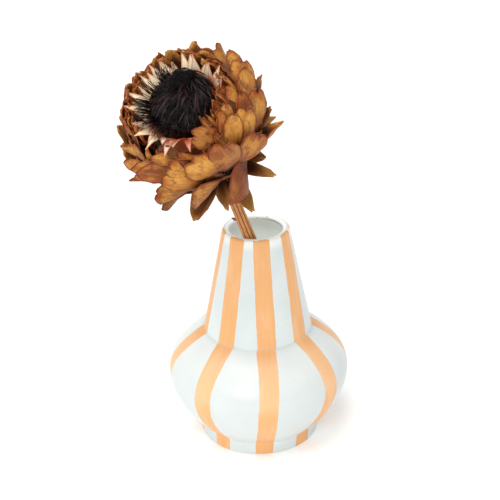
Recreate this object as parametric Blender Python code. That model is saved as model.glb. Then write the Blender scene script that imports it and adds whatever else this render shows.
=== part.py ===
"""Dried artichoke flower standing in a striped stoneware vase.

Metres, +Z up. The origin is the centre of the vase's foot, on the surface it stands on, and -Y is
the front. The vase is one turned shell. The flower is a ribbed stem, a head of brown bracts on a
cup-shaped receptacle, a ring of pale inner bracts, and a dark tuft of florets in the middle.
"""

import math
import random

import bmesh
import bpy
import numpy
from mathutils import Matrix, Vector

MM = 0.001

# Vase: heights from the table, radii from the axis
VASE_HEIGHT = 180 * MM
RIM_RADIUS = 26.6 * MM
MOUTH_RADIUS = 20.8 * MM
SHOULDER_HEIGHT = 93.7 * MM
SHOULDER_RADIUS = 42.9 * MM
BELLY_HEIGHT = 57.2 * MM
BELLY_RADIUS = 72.2 * MM
CREASE_HEIGHT = 12.4 * MM
CREASE_RADIUS = 48.8 * MM
FOOT_RADIUS = 47.6 * MM
WALL = 5.4 * MM
FLOOR_THICKNESS = 7 * MM
VASE_STEPS = 52

# Stem: a ribbed stalk that leans on the front of the lip, with its cut end against the belly
STEM_FOOT = Vector((36.2, 43.15, 34.0)) * MM
STEM_AT_LIP = Vector((-5.65, -15.6, 180.0)) * MM
STEM_RADIUS = 4.9 * MM
STEM_NECK_RADIUS = 4.3 * MM
STEM_RIBS = 9
RIB_DEPTH = 0.45 * MM
BEND_START = 40 * MM
BEND_HANDLE = 14 * MM
STEM_STATIONS = 15
LEAF_STUB_ROOT = Vector((-12.6, -21.4, 195.8)) * MM
LEAF_STUB_TIP = Vector((-18.6, -22.4, 197.6)) * MM
LEAF_STUB_RADIUS = 1.3 * MM

# Flower head: its centre, and the lean of its axis from upright
HEAD_CENTRE = Vector((-40.5, -70.0, 292.0)) * MM
HEAD_LEAN_FRONT = math.radians(37.6)
HEAD_LEAN_LEFT = math.radians(19)
GLOBE_RADIUS = 52.5 * MM
CUP_BOTTOM = -40 * MM
CUP_TOP = 6 * MM
CUP_RADIUS = 36 * MM
CUP_STEPS = 24
NECK_RADIUS = 6.5 * MM
HOLLOW_RADIUS = 25.2 * MM
HOLLOW_FLOOR = -12 * MM
SEAT_GAP = 0.35 * MM

# Clear space in the opening, as radii at heights above the head's centre: the florets stay inside the
# first row of radii and the brown bracts outside the second, with the pale bracts between them
SLEEVE_HEIGHTS = [-12 * MM, 18 * MM, 30 * MM, 38 * MM, 44 * MM, 50 * MM]
FLORET_SLEEVE = [22.4 * MM, 23.2 * MM, 25.6 * MM, 28.0 * MM, 30.0 * MM, 31.5 * MM]
PALE_SLEEVE = [25.4 * MM, 27.2 * MM, 29.2 * MM, 31.4 * MM, 32.6 * MM, 34.0 * MM]
SLEEVE_GAP = 0.3 * MM

# The opening faces a little to one side of the head's axis, so the bracts bend that way towards its edge
SWAY_ANGLE = math.radians(8.5)
SWAY_AXIS = Vector((-0.72, -0.69, 0.0))
SWAY_START = 2 * MM
SWAY_END = 42 * MM

# Brown bracts, in one spiral from the stem up to the opening
GOLDEN_ANGLE = math.radians(137.508)
BASAL_COUNT = 9
MAIN_COUNT = 56
RIM_COUNT = 24
LOWEST_TIP = math.radians(124)
HIGHEST_TIP = math.radians(43)
BRACT_WIDTH = 21.5 * MM
BRACT_THICKNESS = 0.9 * MM
BRACT_SEED = 11
DROOP_SIDE = math.radians(-92)

# Pale inner bracts round the florets
PALE_COUNT = 30
PALE_THICKNESS = 0.7 * MM
PALE_SEED = 5
COLLAR_RADIUS = 24.9 * MM
COLLAR_WALL = 1.6 * MM
COLLAR_TOP = 12 * MM

# Tuft of florets: a core that its spikes stand out of
TUFT_CORE_RADIUS = 21 * MM
TUFT_SHOULDER = 34 * MM
TUFT_CORE_TOP = 44 * MM
FLORET_COUNT = 150
FLORET_LENGTH = 16 * MM
FLORET_ROOT = 7 * MM
FLORET_RADIUS = 1.1 * MM
TUFT_SEED = 3


def clear_scene():
    for obj in list(bpy.data.objects):
        bpy.data.objects.remove(obj, do_unlink=True)


def material(name, colour, roughness):
    made = bpy.data.materials.new(name)
    made.use_nodes = True
    shader = made.node_tree.nodes["Principled BSDF"]
    shader.inputs["Base Color"].default_value = (*colour, 1)
    shader.inputs["Roughness"].default_value = roughness
    shader.inputs["Metallic"].default_value = 0
    return made


def mesh_object(name, points, faces, finish=None, collection=None):
    mesh = bpy.data.meshes.new(name)
    mesh.from_pydata([tuple(p) for p in points], [], faces)
    mesh.validate()
    if finish:
        mesh.materials.append(finish)
    obj = bpy.data.objects.new(name, mesh)
    (collection or bpy.context.scene.collection).objects.link(obj)
    return obj


def facing_out(obj):
    made = bmesh.new()
    made.from_mesh(obj.data)
    bmesh.ops.recalc_face_normals(made, faces=made.faces)
    made.to_mesh(obj.data)
    made.free()


def turned(name, profile, steps, finish=None):
    """A solid turned about Z from (radius, height) points that run out from the axis and back to it."""
    obj = mesh_object(name, [(r, 0, z) for r, z in profile], [], finish)
    mesh = obj.data
    mesh.edges.add(len(profile) - 1)
    for index, edge in enumerate(mesh.edges):
        edge.vertices = (index, index + 1)
    screw = obj.modifiers.new("turn", "SCREW")
    screw.steps = steps
    screw.render_steps = steps
    screw.use_merge_vertices = True
    screw.merge_threshold = 0.00001
    screw.use_smooth_shade = True
    return obj


def applied(obj):
    """The object's modifiers made part of its mesh."""
    graph = bpy.context.evaluated_depsgraph_get()
    graph.update()
    obj.data = bpy.data.meshes.new_from_object(obj.evaluated_get(graph))
    obj.modifiers.clear()
    return obj


def belly_radius(height, inset=0.0):
    """The belly's radius at a height, between the foot's crease and the shoulder."""
    if height < BELLY_HEIGHT:
        share = (BELLY_HEIGHT - height) / (BELLY_HEIGHT - CREASE_HEIGHT)
        edge = CREASE_RADIUS
    else:
        share = (height - BELLY_HEIGHT) / (SHOULDER_HEIGHT - BELLY_HEIGHT)
        edge = SHOULDER_RADIUS
    return BELLY_RADIUS - (BELLY_RADIUS - edge) * share**1.96 - inset


def vase_profile():
    """(radius, height) from the middle of the inner floor, up the inside, over the lip, and down the outside."""
    lip = (RIM_RADIUS - MOUTH_RADIUS) / 2
    lip_centre = (RIM_RADIUS + MOUTH_RADIUS) / 2
    inside = [(0, FLOOR_THICKNESS), (CREASE_RADIUS - WALL - 7 * MM, FLOOR_THICKNESS)]
    inner_heights = [0.22, 0.38, 0.56, 0.78, 1.0, 1.2, 1.4]
    inside += [(belly_radius(h * BELLY_HEIGHT, WALL), h * BELLY_HEIGHT) for h in inner_heights]
    inside.append((SHOULDER_RADIUS - WALL, SHOULDER_HEIGHT - 1 * MM))
    inside.append((MOUTH_RADIUS, VASE_HEIGHT - lip))
    over = []
    for degrees in (150, 120, 90, 60, 30):
        turn = math.radians(degrees)
        over.append((lip_centre + lip * math.cos(turn), VASE_HEIGHT - lip + lip * math.sin(turn)))
    outside = [(RIM_RADIUS, VASE_HEIGHT - lip), (SHOULDER_RADIUS, SHOULDER_HEIGHT)]
    rise = SHOULDER_HEIGHT - BELLY_HEIGHT
    outside += [(belly_radius(BELLY_HEIGHT + s * rise), BELLY_HEIGHT + s * rise) for s in (0.8, 0.6, 0.4, 0.2)]
    drop = BELLY_HEIGHT - CREASE_HEIGHT
    outside += [(belly_radius(BELLY_HEIGHT - s * drop), BELLY_HEIGHT - s * drop) for s in (0, 0.2, 0.4, 0.6, 0.8, 1)]
    foot = [(FOOT_RADIUS, CREASE_HEIGHT - 1.6 * MM), (FOOT_RADIUS, 1 * MM), (FOOT_RADIUS - 1 * MM, 0), (0, 0)]
    return inside + over + outside + foot


def make_vase():
    return turned("vase", vase_profile(), VASE_STEPS, material("white_stoneware", (0.85, 0.88, 0.88), 0.55))


def head_matrix():
    lean = Matrix.Rotation(-HEAD_LEAN_LEFT, 4, "Y") @ Matrix.Rotation(HEAD_LEAN_FRONT, 4, "X")
    return Matrix.Translation(HEAD_CENTRE) @ lean


def stem_centre(share, head):
    """A point on the stem's centreline: straight up past the lip, then bending into the head's axis."""
    run = (STEM_AT_LIP - STEM_FOOT).normalized()
    bend = STEM_AT_LIP + run * BEND_START
    axis = (head.to_3x3() @ Vector((0, 0, 1))).normalized()
    top = head @ Vector((0, 0, CUP_BOTTOM - 2 * SEAT_GAP))
    straight = (bend - STEM_FOOT).length
    curved = (top - bend).length
    at = share * (straight + curved)
    if at <= straight:
        return STEM_FOOT + run * at
    t = (at - straight) / curved
    first = bend + run * BEND_HANDLE
    second = top - axis * BEND_HANDLE
    s = 1 - t
    return bend * s**3 + first * 3 * s * s * t + second * 3 * s * t * t + top * t**3


def stem_ring(centre, along, radius):
    """One ribbed ring of the stem, round its centreline."""
    side = along.cross(Vector((0, 1, 0))).normalized()
    up = side.cross(along).normalized()
    ring = []
    for k in range(STEM_RIBS * 2):
        angle = math.pi * k / STEM_RIBS
        reach = radius - (RIB_DEPTH if k % 2 else 0)
        ring.append(centre + (side * math.cos(angle) + up * math.sin(angle)) * reach)
    return ring


def make_stem(head):
    count = STEM_RIBS * 2
    points = []
    for i in range(STEM_STATIONS):
        share = i / (STEM_STATIONS - 1)
        centre = stem_centre(share, head)
        along = stem_centre(min(1, share + 0.01), head) - stem_centre(max(0, share - 0.01), head)
        taper = STEM_RADIUS + (STEM_NECK_RADIUS - STEM_RADIUS) * min(1, share / 0.85) ** 2
        flare = 1.6 * MM * max(0, (share - 0.85) / 0.15) ** 2
        points += stem_ring(centre, along.normalized(), taper + flare)
    faces = [list(range(count))[::-1], list(range(count * (STEM_STATIONS - 1), count * STEM_STATIONS))]
    for i in range(STEM_STATIONS - 1):
        for k in range(count):
            j = (k + 1) % count
            faces.append([i * count + k, i * count + j, (i + 1) * count + j, (i + 1) * count + k])
    stem = mesh_object("stem", points, faces)
    facing_out(stem)
    stub = new_collection("leaf stub")
    spike("leaf_stub", LEAF_STUB_ROOT, LEAF_STUB_TIP, LEAF_STUB_RADIUS, stub)
    return fused(stem, stub, material("dry_stem", (0.42, 0.2, 0.07), 0.7))


def zipped(first, second):
    """Triangles between two rows of point numbers, which may differ in count."""
    faces = []
    i = j = 0
    while i < len(first) - 1 or j < len(second) - 1:
        ahead_i = (i + 1) / (len(first) - 1)
        ahead_j = (j + 1) / (len(second) - 1)
        if j >= len(second) - 1 or (i < len(first) - 1 and ahead_i <= ahead_j):
            faces.append((first[i], first[i + 1], second[j]))
            i += 1
        else:
            faces.append((first[i], second[j + 1], second[j]))
            j += 1
    return faces


def blade(name, surface, rows, thickness, collection):
    """A closed thin blade. surface(u, v) is its outer face, and rows lists (u, how many points across)."""
    nudge = 0.01
    outer, inner, numbers = [], [], []
    for u, across in rows:
        row = []
        for k in range(across):
            v = -1 + 2 * k / (across - 1)
            along = surface(min(1, u + nudge), v) - surface(max(0, u - nudge), v)
            side = surface(u, min(1, v + nudge)) - surface(u, max(-1, v - nudge))
            normal = side.cross(along).normalized()
            point = surface(u, v)
            row.append(len(outer))
            outer.append(point)
            inner.append(point - normal * thickness)
        numbers.append(row)
    face = [t for a, b in zip(numbers, numbers[1:]) for t in zipped(a, b)]
    shift = len(outer)
    faces = list(face) + [(c + shift, b + shift, a + shift) for a, b, c in face]
    left = [row[0] for row in numbers]
    right = [row[-1] for row in numbers]
    edge = left[::-1] + numbers[0][1:-1] + right + numbers[-1][1:-1][::-1]
    for a, b in zip(edge, edge[1:] + edge[:1]):
        faces.append((a, b, b + shift))
        faces.append((a, b + shift, a + shift))
    obj = mesh_object(name, outer + inner, faces, None, collection)
    facing_out(obj)
    return obj


def keep_largest_shell(obj):
    """Fills the sealed hollows that fusing leaves, and drops loose scraps."""
    made = bmesh.new()
    made.from_mesh(obj.data)
    waiting = set(made.faces)
    shells = []
    while waiting:
        shell = [waiting.pop()]
        for face in shell:
            near = {other for edge in face.edges for other in edge.link_faces} & waiting
            waiting -= near
            shell += near
        shells.append(shell)
    shells.sort(key=len)
    loose = [face for shell in shells[:-1] for face in shell]
    bmesh.ops.delete(made, geom=loose, context="FACES")
    made.to_mesh(obj.data)
    made.free()


def fused(body, collection, finish):
    """The body joined with every object of the collection, which is then removed, in one material."""
    join = body.modifiers.new("join", "BOOLEAN")
    join.operation = "UNION"
    join.operand_type = "COLLECTION"
    join.collection = collection
    join.solver = "MANIFOLD"
    applied(body)
    for obj in list(collection.objects):
        bpy.data.objects.remove(obj, do_unlink=True)
    bpy.data.collections.remove(collection)
    keep_largest_shell(body)
    body.data.materials.clear()
    body.data.materials.append(finish)
    return body


def new_collection(name):
    made = bpy.data.collections.new(name)
    bpy.context.scene.collection.children.link(made)
    return made


def cup_profile():
    """The receptacle: a cup on the stem, open at the top, where the inner bracts and florets sit."""
    floor = [(0, HOLLOW_FLOOR), (HOLLOW_RADIUS, HOLLOW_FLOOR)]
    lip = [(HOLLOW_RADIUS, CUP_TOP), (CUP_RADIUS - 3 * MM, CUP_TOP)]
    outside = [(CUP_RADIUS, -4 * MM), (CUP_RADIUS - 2.5 * MM, -16 * MM), (24 * MM, -30 * MM)]
    return floor + lip + outside + [(NECK_RADIUS, CUP_BOTTOM + 1 * MM), (NECK_RADIUS, CUP_BOTTOM), (0, CUP_BOTTOM)]


def cup_reach(polar):
    """How far the cup's outside lies from the head's centre, at an angle from the axis."""
    angles = [math.radians(degrees) for degrees in (80, 96, 115, 141, 171)]
    reaches = [33.5 * MM, 36.2 * MM, 37.1 * MM, 38.4 * MM, 39.6 * MM]
    return float(numpy.interp(polar, angles, reaches))


def sleeve(radii, height):
    return float(numpy.interp(height, SLEEVE_HEIGHTS, radii))


def swayed(point, angle):
    """The point, turned about the head's centre by a share of the angle that grows towards the opening."""
    share = max(0, (point.z - SWAY_START) / (SWAY_END - SWAY_START))
    return Matrix.Rotation(angle * share**1.3, 3, SWAY_AXIS) @ point


def kept_outside(point, radii, gap):
    """The point, moved out from the axis where it would enter the sleeve."""
    radius = math.hypot(point.x, point.y)
    least = sleeve(radii, point.z) + gap
    if radius >= least or point.z < SLEEVE_HEIGHTS[0]:
        return point
    return Vector((point.x * least / radius, point.y * least / radius, point.z))


def kept_inside(point, radii, gap):
    """The point, moved in towards the axis where it would leave the sleeve."""
    radius = math.hypot(point.x, point.y)
    most = sleeve(radii, point.z) - gap
    if radius <= most:
        return point
    return Vector((point.x * most / radius, point.y * most / radius, point.z))


def basal_bract(index, chance):
    """A short pointed bract bent back at the stem."""
    return {
        "tip": math.radians(134) + chance.uniform(-0.06, 0.06),
        "span": math.radians(30),
        "reach": 51 * MM,
        "width": 17 * MM * chance.uniform(0.85, 1.15),
        "lift": 17 * MM * chance.uniform(0.4, 1),
        "cup": 18 * MM,
        "notch": 0,
        "point": 0.8,
        "rise": 1.2,
        "twist": chance.uniform(-0.3, 0.3),
    }


def main_bract(index, chance):
    """A broad blunt bract. The lowest rows spread out from the globe."""
    share = (index - BASAL_COUNT) / (MAIN_COUNT - 1)
    tip = math.acos(math.cos(LOWEST_TIP) + (math.cos(HIGHEST_TIP) - math.cos(LOWEST_TIP)) * share)
    low = max(0, 1 - share / 0.22)
    spread = 0.55 + 0.45 * math.cos(index * GOLDEN_ANGLE - DROOP_SIDE)
    return {
        "tip": tip + chance.uniform(-0.05, 0.05),
        "span": math.radians(60 - 14 * low) * chance.uniform(0.95, 1.05),
        "reach": GLOBE_RADIUS + chance.uniform(-1.5, 1.5) * MM,
        "width": BRACT_WIDTH * (1 - 0.12 * low) * chance.uniform(0.86, 1.1),
        "lift": (0.8 + 23 * low * spread * chance.uniform(0.6, 1)) * MM,
        "cup": 25 * MM * chance.uniform(0.75, 1.3),
        "notch": chance.uniform(0, 0.08),
        "point": chance.choice((0, 0, 0.15, 0.4)),
        "rise": 1.75,
        "twist": chance.uniform(-0.2, 0.2),
    }


def rim_bract(index, chance):
    """A thin curled bract at the edge of the opening."""
    return {
        "tip": math.radians(37) + chance.uniform(-0.05, 0.1),
        "span": math.radians(55),
        "reach": GLOBE_RADIUS + chance.uniform(1, 5.5) * MM,
        "width": 15.5 * MM * chance.uniform(0.8, 1.2),
        "lift": chance.uniform(-1, 1.5) * MM,
        "cup": 8 * MM * chance.uniform(0.8, 1.4),
        "notch": chance.uniform(0, 0.1),
        "point": chance.choice((0, 0.3, 0.8)),
        "rise": 1.7,
        "twist": chance.uniform(-0.5, 0.5),
    }


def bract_sizes(index):
    """What sets one brown bract's shape: its place in the spiral, with a seeded share of chance."""
    chance = random.Random(BRACT_SEED * 1000 + index)
    kind = main_bract
    if index < BASAL_COUNT:
        kind = basal_bract
    if index >= BASAL_COUNT + MAIN_COUNT:
        kind = rim_bract
    sizes = kind(index, chance)
    sizes["azimuth"] = index * GOLDEN_ANGLE + chance.uniform(-0.06, 0.06)
    sizes["lean"] = chance.uniform(-0.1, 0.1)
    return sizes


def bract_surface(bract):
    """The outer face of one brown bract, from its root in the cup (u = 0) to its tip (u = 1)."""
    root_reach = cup_reach(bract["tip"] + bract["span"]) - 2.5 * MM

    def centre(t):
        polar = bract["tip"] + (1 - t) * bract["span"]
        reach = bract["reach"] - (bract["reach"] - root_reach) * max(0, 1 - t) ** bract["rise"]
        out = bract["lift"] * max(0, t) ** 3
        return Vector((reach * math.sin(polar) + out, 0, reach * math.cos(polar) - 0.35 * out))

    def surface(u, v):
        end = 1 - 0.17 * abs(v) ** 2.2 - bract["notch"] * max(0, 1 - abs(v) / 0.5)
        t = u * end
        along = (centre(t + 0.01) - centre(t - 0.01)).normalized()
        side = Vector((0, 1, 0))
        normal = side.cross(along)
        turn = bract["twist"] * t * t
        side_turned = side * math.cos(turn) + normal * math.sin(turn)
        normal_turned = normal * math.cos(turn) - side * math.sin(turn)
        swell = 0.3 + 0.7 * math.sin(min(1, t / 0.66) * math.pi / 2)
        taper = 1 - (0.1 + 0.8 * bract["point"]) * max(0, (t - 0.55) / 0.45) ** 1.6
        across = v * bract["width"] / 2 * swell * taper
        bow = across * across / (2 * bract["cup"])
        bend = bract["lean"] * bract["width"] * t * t
        point = centre(t) + side_turned * (across + bend) - normal_turned * bow
        turned_point = Matrix.Rotation(bract["azimuth"], 3, "Z") @ point
        return swayed(kept_outside(turned_point, PALE_SLEEVE, BRACT_THICKNESS + SLEEVE_GAP), SWAY_ANGLE)

    return surface


def bract_rows(index):
    if index < BASAL_COUNT:
        return [(0, 2), (0.5, 3), (1, 2)]
    if index < BASAL_COUNT + MAIN_COUNT:
        return [(0, 2), (0.5, 3), (0.82, 4), (1, 4)]
    return [(0, 2), (0.6, 3), (1, 3)]


def make_bracts(head):
    cup = applied(turned("bracts", cup_profile(), CUP_STEPS))
    facing_out(cup)
    petals = new_collection("brown bracts")
    for index in range(BASAL_COUNT + MAIN_COUNT + RIM_COUNT):
        surface = bract_surface(bract_sizes(index))
        blade(f"bract_{index}", surface, bract_rows(index), BRACT_THICKNESS, petals)
    fused(cup, petals, material("dry_bract", (0.5, 0.26, 0.09), 0.6))
    cup.data.transform(head)
    return cup


def pale_sizes(index):
    chance = random.Random(PALE_SEED * 1000 + index)
    inner = index % 2
    return {
        "azimuth": math.tau * index / PALE_COUNT + chance.uniform(-0.07, 0.07),
        "top": (39 - 2 * inner) * MM * chance.uniform(0.9, 1.06),
        "width": 8.4 * MM * chance.uniform(0.85, 1.2),
        "flare": (9.5 - 3 * inner) * MM * chance.uniform(0.75, 1.1),
        "cup": 7 * MM,
    }


def pale_surface(pale):
    """The outer face of one pale bract: up along the collar, then flaring out to a point."""

    def centre(t):
        low = 4 * MM
        return Vector((COLLAR_RADIUS - 0.6 * MM + pale["flare"] * max(0, t) ** 2.2, 0, low + (pale["top"] - low) * t))

    def surface(u, v):
        point = centre(u)
        along = (centre(u + 0.01) - centre(u - 0.01)).normalized()
        side = Vector((0, 1, 0))
        normal = side.cross(along)
        half = pale["width"] / 2 * (0.8 + 0.2 * math.sin(math.pi * min(1, u / 0.9))) * (1 - u**2.6) + 0.3 * MM
        across = v * half
        bow = across * across / (2 * pale["cup"])
        turned_point = Matrix.Rotation(pale["azimuth"], 3, "Z") @ (point + side * across - normal * bow)
        outside = kept_outside(turned_point, FLORET_SLEEVE, PALE_THICKNESS + SLEEVE_GAP)
        return swayed(kept_inside(outside, PALE_SLEEVE, SLEEVE_GAP), SWAY_ANGLE)

    return surface


def make_inner_bracts(head):
    bottom = HOLLOW_FLOOR + SEAT_GAP
    inner = COLLAR_RADIUS - COLLAR_WALL
    profile = [(inner, bottom), (inner, COLLAR_TOP), (COLLAR_RADIUS, COLLAR_TOP), (COLLAR_RADIUS, bottom)]
    collar = applied(turned("inner_bracts", profile + profile[:1], CUP_STEPS))
    close_seam(collar)
    petals = new_collection("pale bracts")
    for index in range(PALE_COUNT):
        rows = [(0, 2), (0.6, 3), (1, 2)]
        blade(f"pale_{index}", pale_surface(pale_sizes(index)), rows, PALE_THICKNESS, petals)
    fused(collar, petals, material("pale_bract", (0.85, 0.66, 0.42), 0.45))
    collar.data.transform(head)
    return collar


def close_seam(obj):
    """Welds the end of a turned ring's profile to its start."""
    made = bmesh.new()
    made.from_mesh(obj.data)
    bmesh.ops.remove_doubles(made, verts=made.verts, dist=0.000001)
    bmesh.ops.recalc_face_normals(made, faces=made.faces)
    made.to_mesh(obj.data)
    made.free()


def tuft_profile():
    """The florets packed into one body, narrow at the root and domed on top."""
    bottom = HOLLOW_FLOOR + SEAT_GAP
    rise = TUFT_CORE_TOP - TUFT_SHOULDER
    dome = []
    for degrees in (20, 42, 64, 84):
        turn = math.radians(degrees)
        dome.append((TUFT_CORE_RADIUS * math.sin(turn), TUFT_SHOULDER + rise * math.cos(turn)))
    low = [(TUFT_CORE_RADIUS - 1 * MM, 8 * MM), (TUFT_CORE_RADIUS - 3 * MM, bottom), (0, bottom)]
    return [(0, TUFT_CORE_TOP)] + dome + low


def spike(name, root, tip, radius, collection):
    """A three-sided needle from its root, sunk in the core, to its point."""
    along = (tip - root).normalized()
    side = along.orthogonal().normalized()
    up = along.cross(side)
    ring = [root + (side * math.cos(a) + up * math.sin(a)) * radius for a in (0, math.tau / 3, 2 * math.tau / 3)]
    faces = [(2, 1, 0), (0, 1, 3), (1, 2, 3), (2, 0, 3)]
    obj = mesh_object(name, ring + [tip], faces, None, collection)
    facing_out(obj)
    return obj


def floret_line(index):
    """The root and tip of one floret, which leans out and round from the dome it grows on."""
    chance = random.Random(TUFT_SEED * 1000 + index)
    share = (index + 0.5) / FLORET_COUNT
    polar = math.acos(1 - 1.0 * share)
    angle = index * GOLDEN_ANGLE
    out = Vector((math.sin(polar) * math.cos(angle), math.sin(polar) * math.sin(angle), math.cos(polar)))
    rise = TUFT_CORE_TOP - TUFT_SHOULDER
    seat = Vector((out.x * TUFT_CORE_RADIUS, out.y * TUFT_CORE_RADIUS, TUFT_SHOULDER + out.z * rise))
    swirl = Vector((-out.y, out.x, 0)) * chance.uniform(-0.25, 0.35)
    along = (out * 0.45 + Vector((0, 0, 0.85)) + swirl).normalized()
    root = seat - along * FLORET_ROOT - out * 0.8 * MM
    tip = root + along * FLORET_LENGTH * chance.uniform(0.9, 1.15)
    held = kept_inside(swayed(tip, -SWAY_ANGLE), FLORET_SLEEVE, 3 * SLEEVE_GAP)
    return root, swayed(held, SWAY_ANGLE)


def make_florets(head):
    core = applied(turned("florets", tuft_profile(), CUP_STEPS))
    facing_out(core)
    spikes = new_collection("floret spikes")
    for index in range(FLORET_COUNT):
        root, tip = floret_line(index)
        spike(f"floret_{index}", root, tip, FLORET_RADIUS, spikes)
    fused(core, spikes, material("dark_floret", (0.02, 0.012, 0.014), 0.6))
    core.data.transform(head)
    return core


def main():
    clear_scene()
    make_vase()
    head = head_matrix()
    make_stem(head)
    make_bracts(head)
    make_inner_bracts(head)
    make_florets(head)


main()
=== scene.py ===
"""Dried artichoke flower standing in a striped stoneware vase.

Metres, +Z up, and -Y is the front. The vase is thrown and glazed, and the flower leans on its lip:
a ribbed stem, brown bracts on a receptacle, pale inner bracts and a dark tuft of florets.
"""

import math
import random

import bmesh
import bpy
import numpy
from mathutils import Matrix, Vector


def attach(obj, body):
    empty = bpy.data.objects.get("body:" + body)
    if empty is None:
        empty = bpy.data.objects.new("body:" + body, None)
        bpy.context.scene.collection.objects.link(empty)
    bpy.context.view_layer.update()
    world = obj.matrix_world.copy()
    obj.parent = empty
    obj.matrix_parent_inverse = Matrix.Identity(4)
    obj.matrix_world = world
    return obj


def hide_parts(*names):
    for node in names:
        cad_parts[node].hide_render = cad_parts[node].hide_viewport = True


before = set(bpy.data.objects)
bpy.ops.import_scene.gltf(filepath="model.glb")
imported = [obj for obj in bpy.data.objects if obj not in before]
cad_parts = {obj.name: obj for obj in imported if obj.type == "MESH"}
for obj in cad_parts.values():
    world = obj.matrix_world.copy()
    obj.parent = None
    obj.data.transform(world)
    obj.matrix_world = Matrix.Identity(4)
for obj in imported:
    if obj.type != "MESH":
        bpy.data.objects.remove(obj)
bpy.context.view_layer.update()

# Vase. A bottle thrown in white stoneware: a thick rounded lip, a straight tapering neck that meets
# the wide belly in a crease, and a low foot. It is glazed white all over, and eight apricot stripes
# are brushed on over the glaze by hand, each from just under the lip down to the foot.
MM = 0.001
VASE_HEIGHT = 180 * MM
RIM_RADIUS = 26.6 * MM
MOUTH_RADIUS = 20.8 * MM
SHOULDER_HEIGHT = 93.7 * MM
SHOULDER_RADIUS = 42.9 * MM
BELLY_HEIGHT = 57.2 * MM
BELLY_RADIUS = 72.2 * MM
CREASE_HEIGHT = 12.4 * MM
CREASE_RADIUS = 48.8 * MM
FOOT_RADIUS = 47.6 * MM
VASE_WALL = 5.4 * MM
VASE_FLOOR = 7 * MM
VASE_STEPS = 224


class Field:
    """A value in a node tree that is reckoned with like a number."""

    def __init__(self, tree, socket):
        self.tree = tree
        self.socket = socket

    def reckon(self, operation, *others):
        made = self.tree.nodes.new("ShaderNodeMath")
        made.operation = operation
        for slot, value in zip(made.inputs, (self, *others)):
            feed(slot, value)
        return Field(self.tree, made.outputs[0])

    def __add__(self, other):
        return self.reckon("ADD", other)

    def __sub__(self, other):
        return self.reckon("SUBTRACT", other)

    def __mul__(self, other):
        return self.reckon("MULTIPLY", other)

    def __truediv__(self, other):
        return self.reckon("DIVIDE", other)

    def __pow__(self, other):
        return self.reckon("POWER", other)

    def __rsub__(self, other):
        return self * -1 + other

    def __neg__(self):
        return self * -1

    def __abs__(self):
        return self.reckon("ABSOLUTE")

    __radd__ = __add__
    __rmul__ = __mul__

    def sine(self):
        return self.reckon("SINE")

    def cosine(self):
        return self.reckon("COSINE")

    def least(self, other):
        return self.reckon("MINIMUM", other)

    def most(self, other):
        return self.reckon("MAXIMUM", other)

    def stepped(self, low, high):
        """0 below low and 1 above high, with a smooth rise between."""
        made = add_node(self.tree, "ShaderNodeMapRange", interpolation_type="SMOOTHSTEP")
        feed(made.inputs["Value"], self)
        feed(made.inputs["From Min"], low)
        feed(made.inputs["From Max"], high)
        return Field(self.tree, made.outputs["Result"])


def feed(slot, value):
    """Gives a socket its value, or links it to a field."""
    if isinstance(value, Field):
        value.tree.links.new(value.socket, slot)
    else:
        slot.default_value = value


def add_node(tree, kind, **settings):
    made = tree.nodes.new(kind)
    for name, value in settings.items():
        setattr(made, name, value)
    return made


def step(tree, kind, geometry, **inputs):
    """One geometry step: the geometry goes in at its first socket and out at its first."""
    made = tree.nodes.new(kind)
    tree.links.new(geometry, made.inputs[0])
    for name, value in inputs.items():
        feed(made.inputs[name.replace("_", " ")], value)
    return made.outputs[0]


def new_tree(name, sizes):
    """A geometry tree, the geometry that enters it, and one field for each of its named sizes."""
    tree = bpy.data.node_groups.new(name, "GeometryNodeTree")
    tree.interface.new_socket(name="Geometry", in_out="INPUT", socket_type="NodeSocketGeometry")
    tree.interface.new_socket(name="Geometry", in_out="OUTPUT", socket_type="NodeSocketGeometry")
    for label, value in sizes.items():
        kind = "NodeSocketInt" if isinstance(value, int) else "NodeSocketFloat"
        tree.interface.new_socket(name=label, in_out="INPUT", socket_type=kind)
    entry = tree.nodes.new("NodeGroupInput")
    fields = {label: Field(tree, entry.outputs[label]) for label in sizes}
    return tree, entry.outputs["Geometry"], fields


def close_tree(tree, geometry, finish):
    """Ends the tree in Realize Instances and Set Material."""
    realized = step(tree, "GeometryNodeRealizeInstances", geometry)
    smooth = step(tree, "GeometryNodeSetShadeSmooth", realized)
    painted = step(tree, "GeometryNodeSetMaterial", smooth, Material=finish)
    tree.links.new(painted, tree.nodes.new("NodeGroupOutput").inputs[0])


def named(tree, name, kind="FLOAT"):
    made = add_node(tree, "GeometryNodeInputNamedAttribute", data_type=kind)
    made.inputs["Name"].default_value = name
    return Field(tree, made.outputs["Attribute"])


def stored(tree, geometry, name, value, kind="FLOAT"):
    made = add_node(tree, "GeometryNodeStoreNamedAttribute", data_type=kind)
    tree.links.new(geometry, made.inputs["Geometry"])
    made.inputs["Name"].default_value = name
    feed(made.inputs["Value"], value)
    return made.outputs["Geometry"]


def split(tree, vector=None):
    """The three fields of a vector, or of the position."""
    made = tree.nodes.new("ShaderNodeSeparateXYZ")
    if vector is None:
        vector = Field(tree, tree.nodes.new("GeometryNodeInputPosition").outputs[0])
    feed(made.inputs[0], vector)
    return [Field(tree, out) for out in made.outputs]


def joined(tree, x, y, z):
    made = tree.nodes.new("ShaderNodeCombineXYZ")
    for slot, value in zip(made.inputs, (x, y, z)):
        feed(slot, value)
    return Field(tree, made.outputs[0])


def noise(tree, where, scale=1.0, detail=2.0, roughness=0.5):
    made = tree.nodes.new("ShaderNodeTexNoise")
    feed(made.inputs["Vector"], where)
    feed(made.inputs["Scale"], scale)
    made.inputs["Detail"].default_value = detail
    made.inputs["Roughness"].default_value = roughness
    return Field(tree, made.outputs[0])


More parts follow.
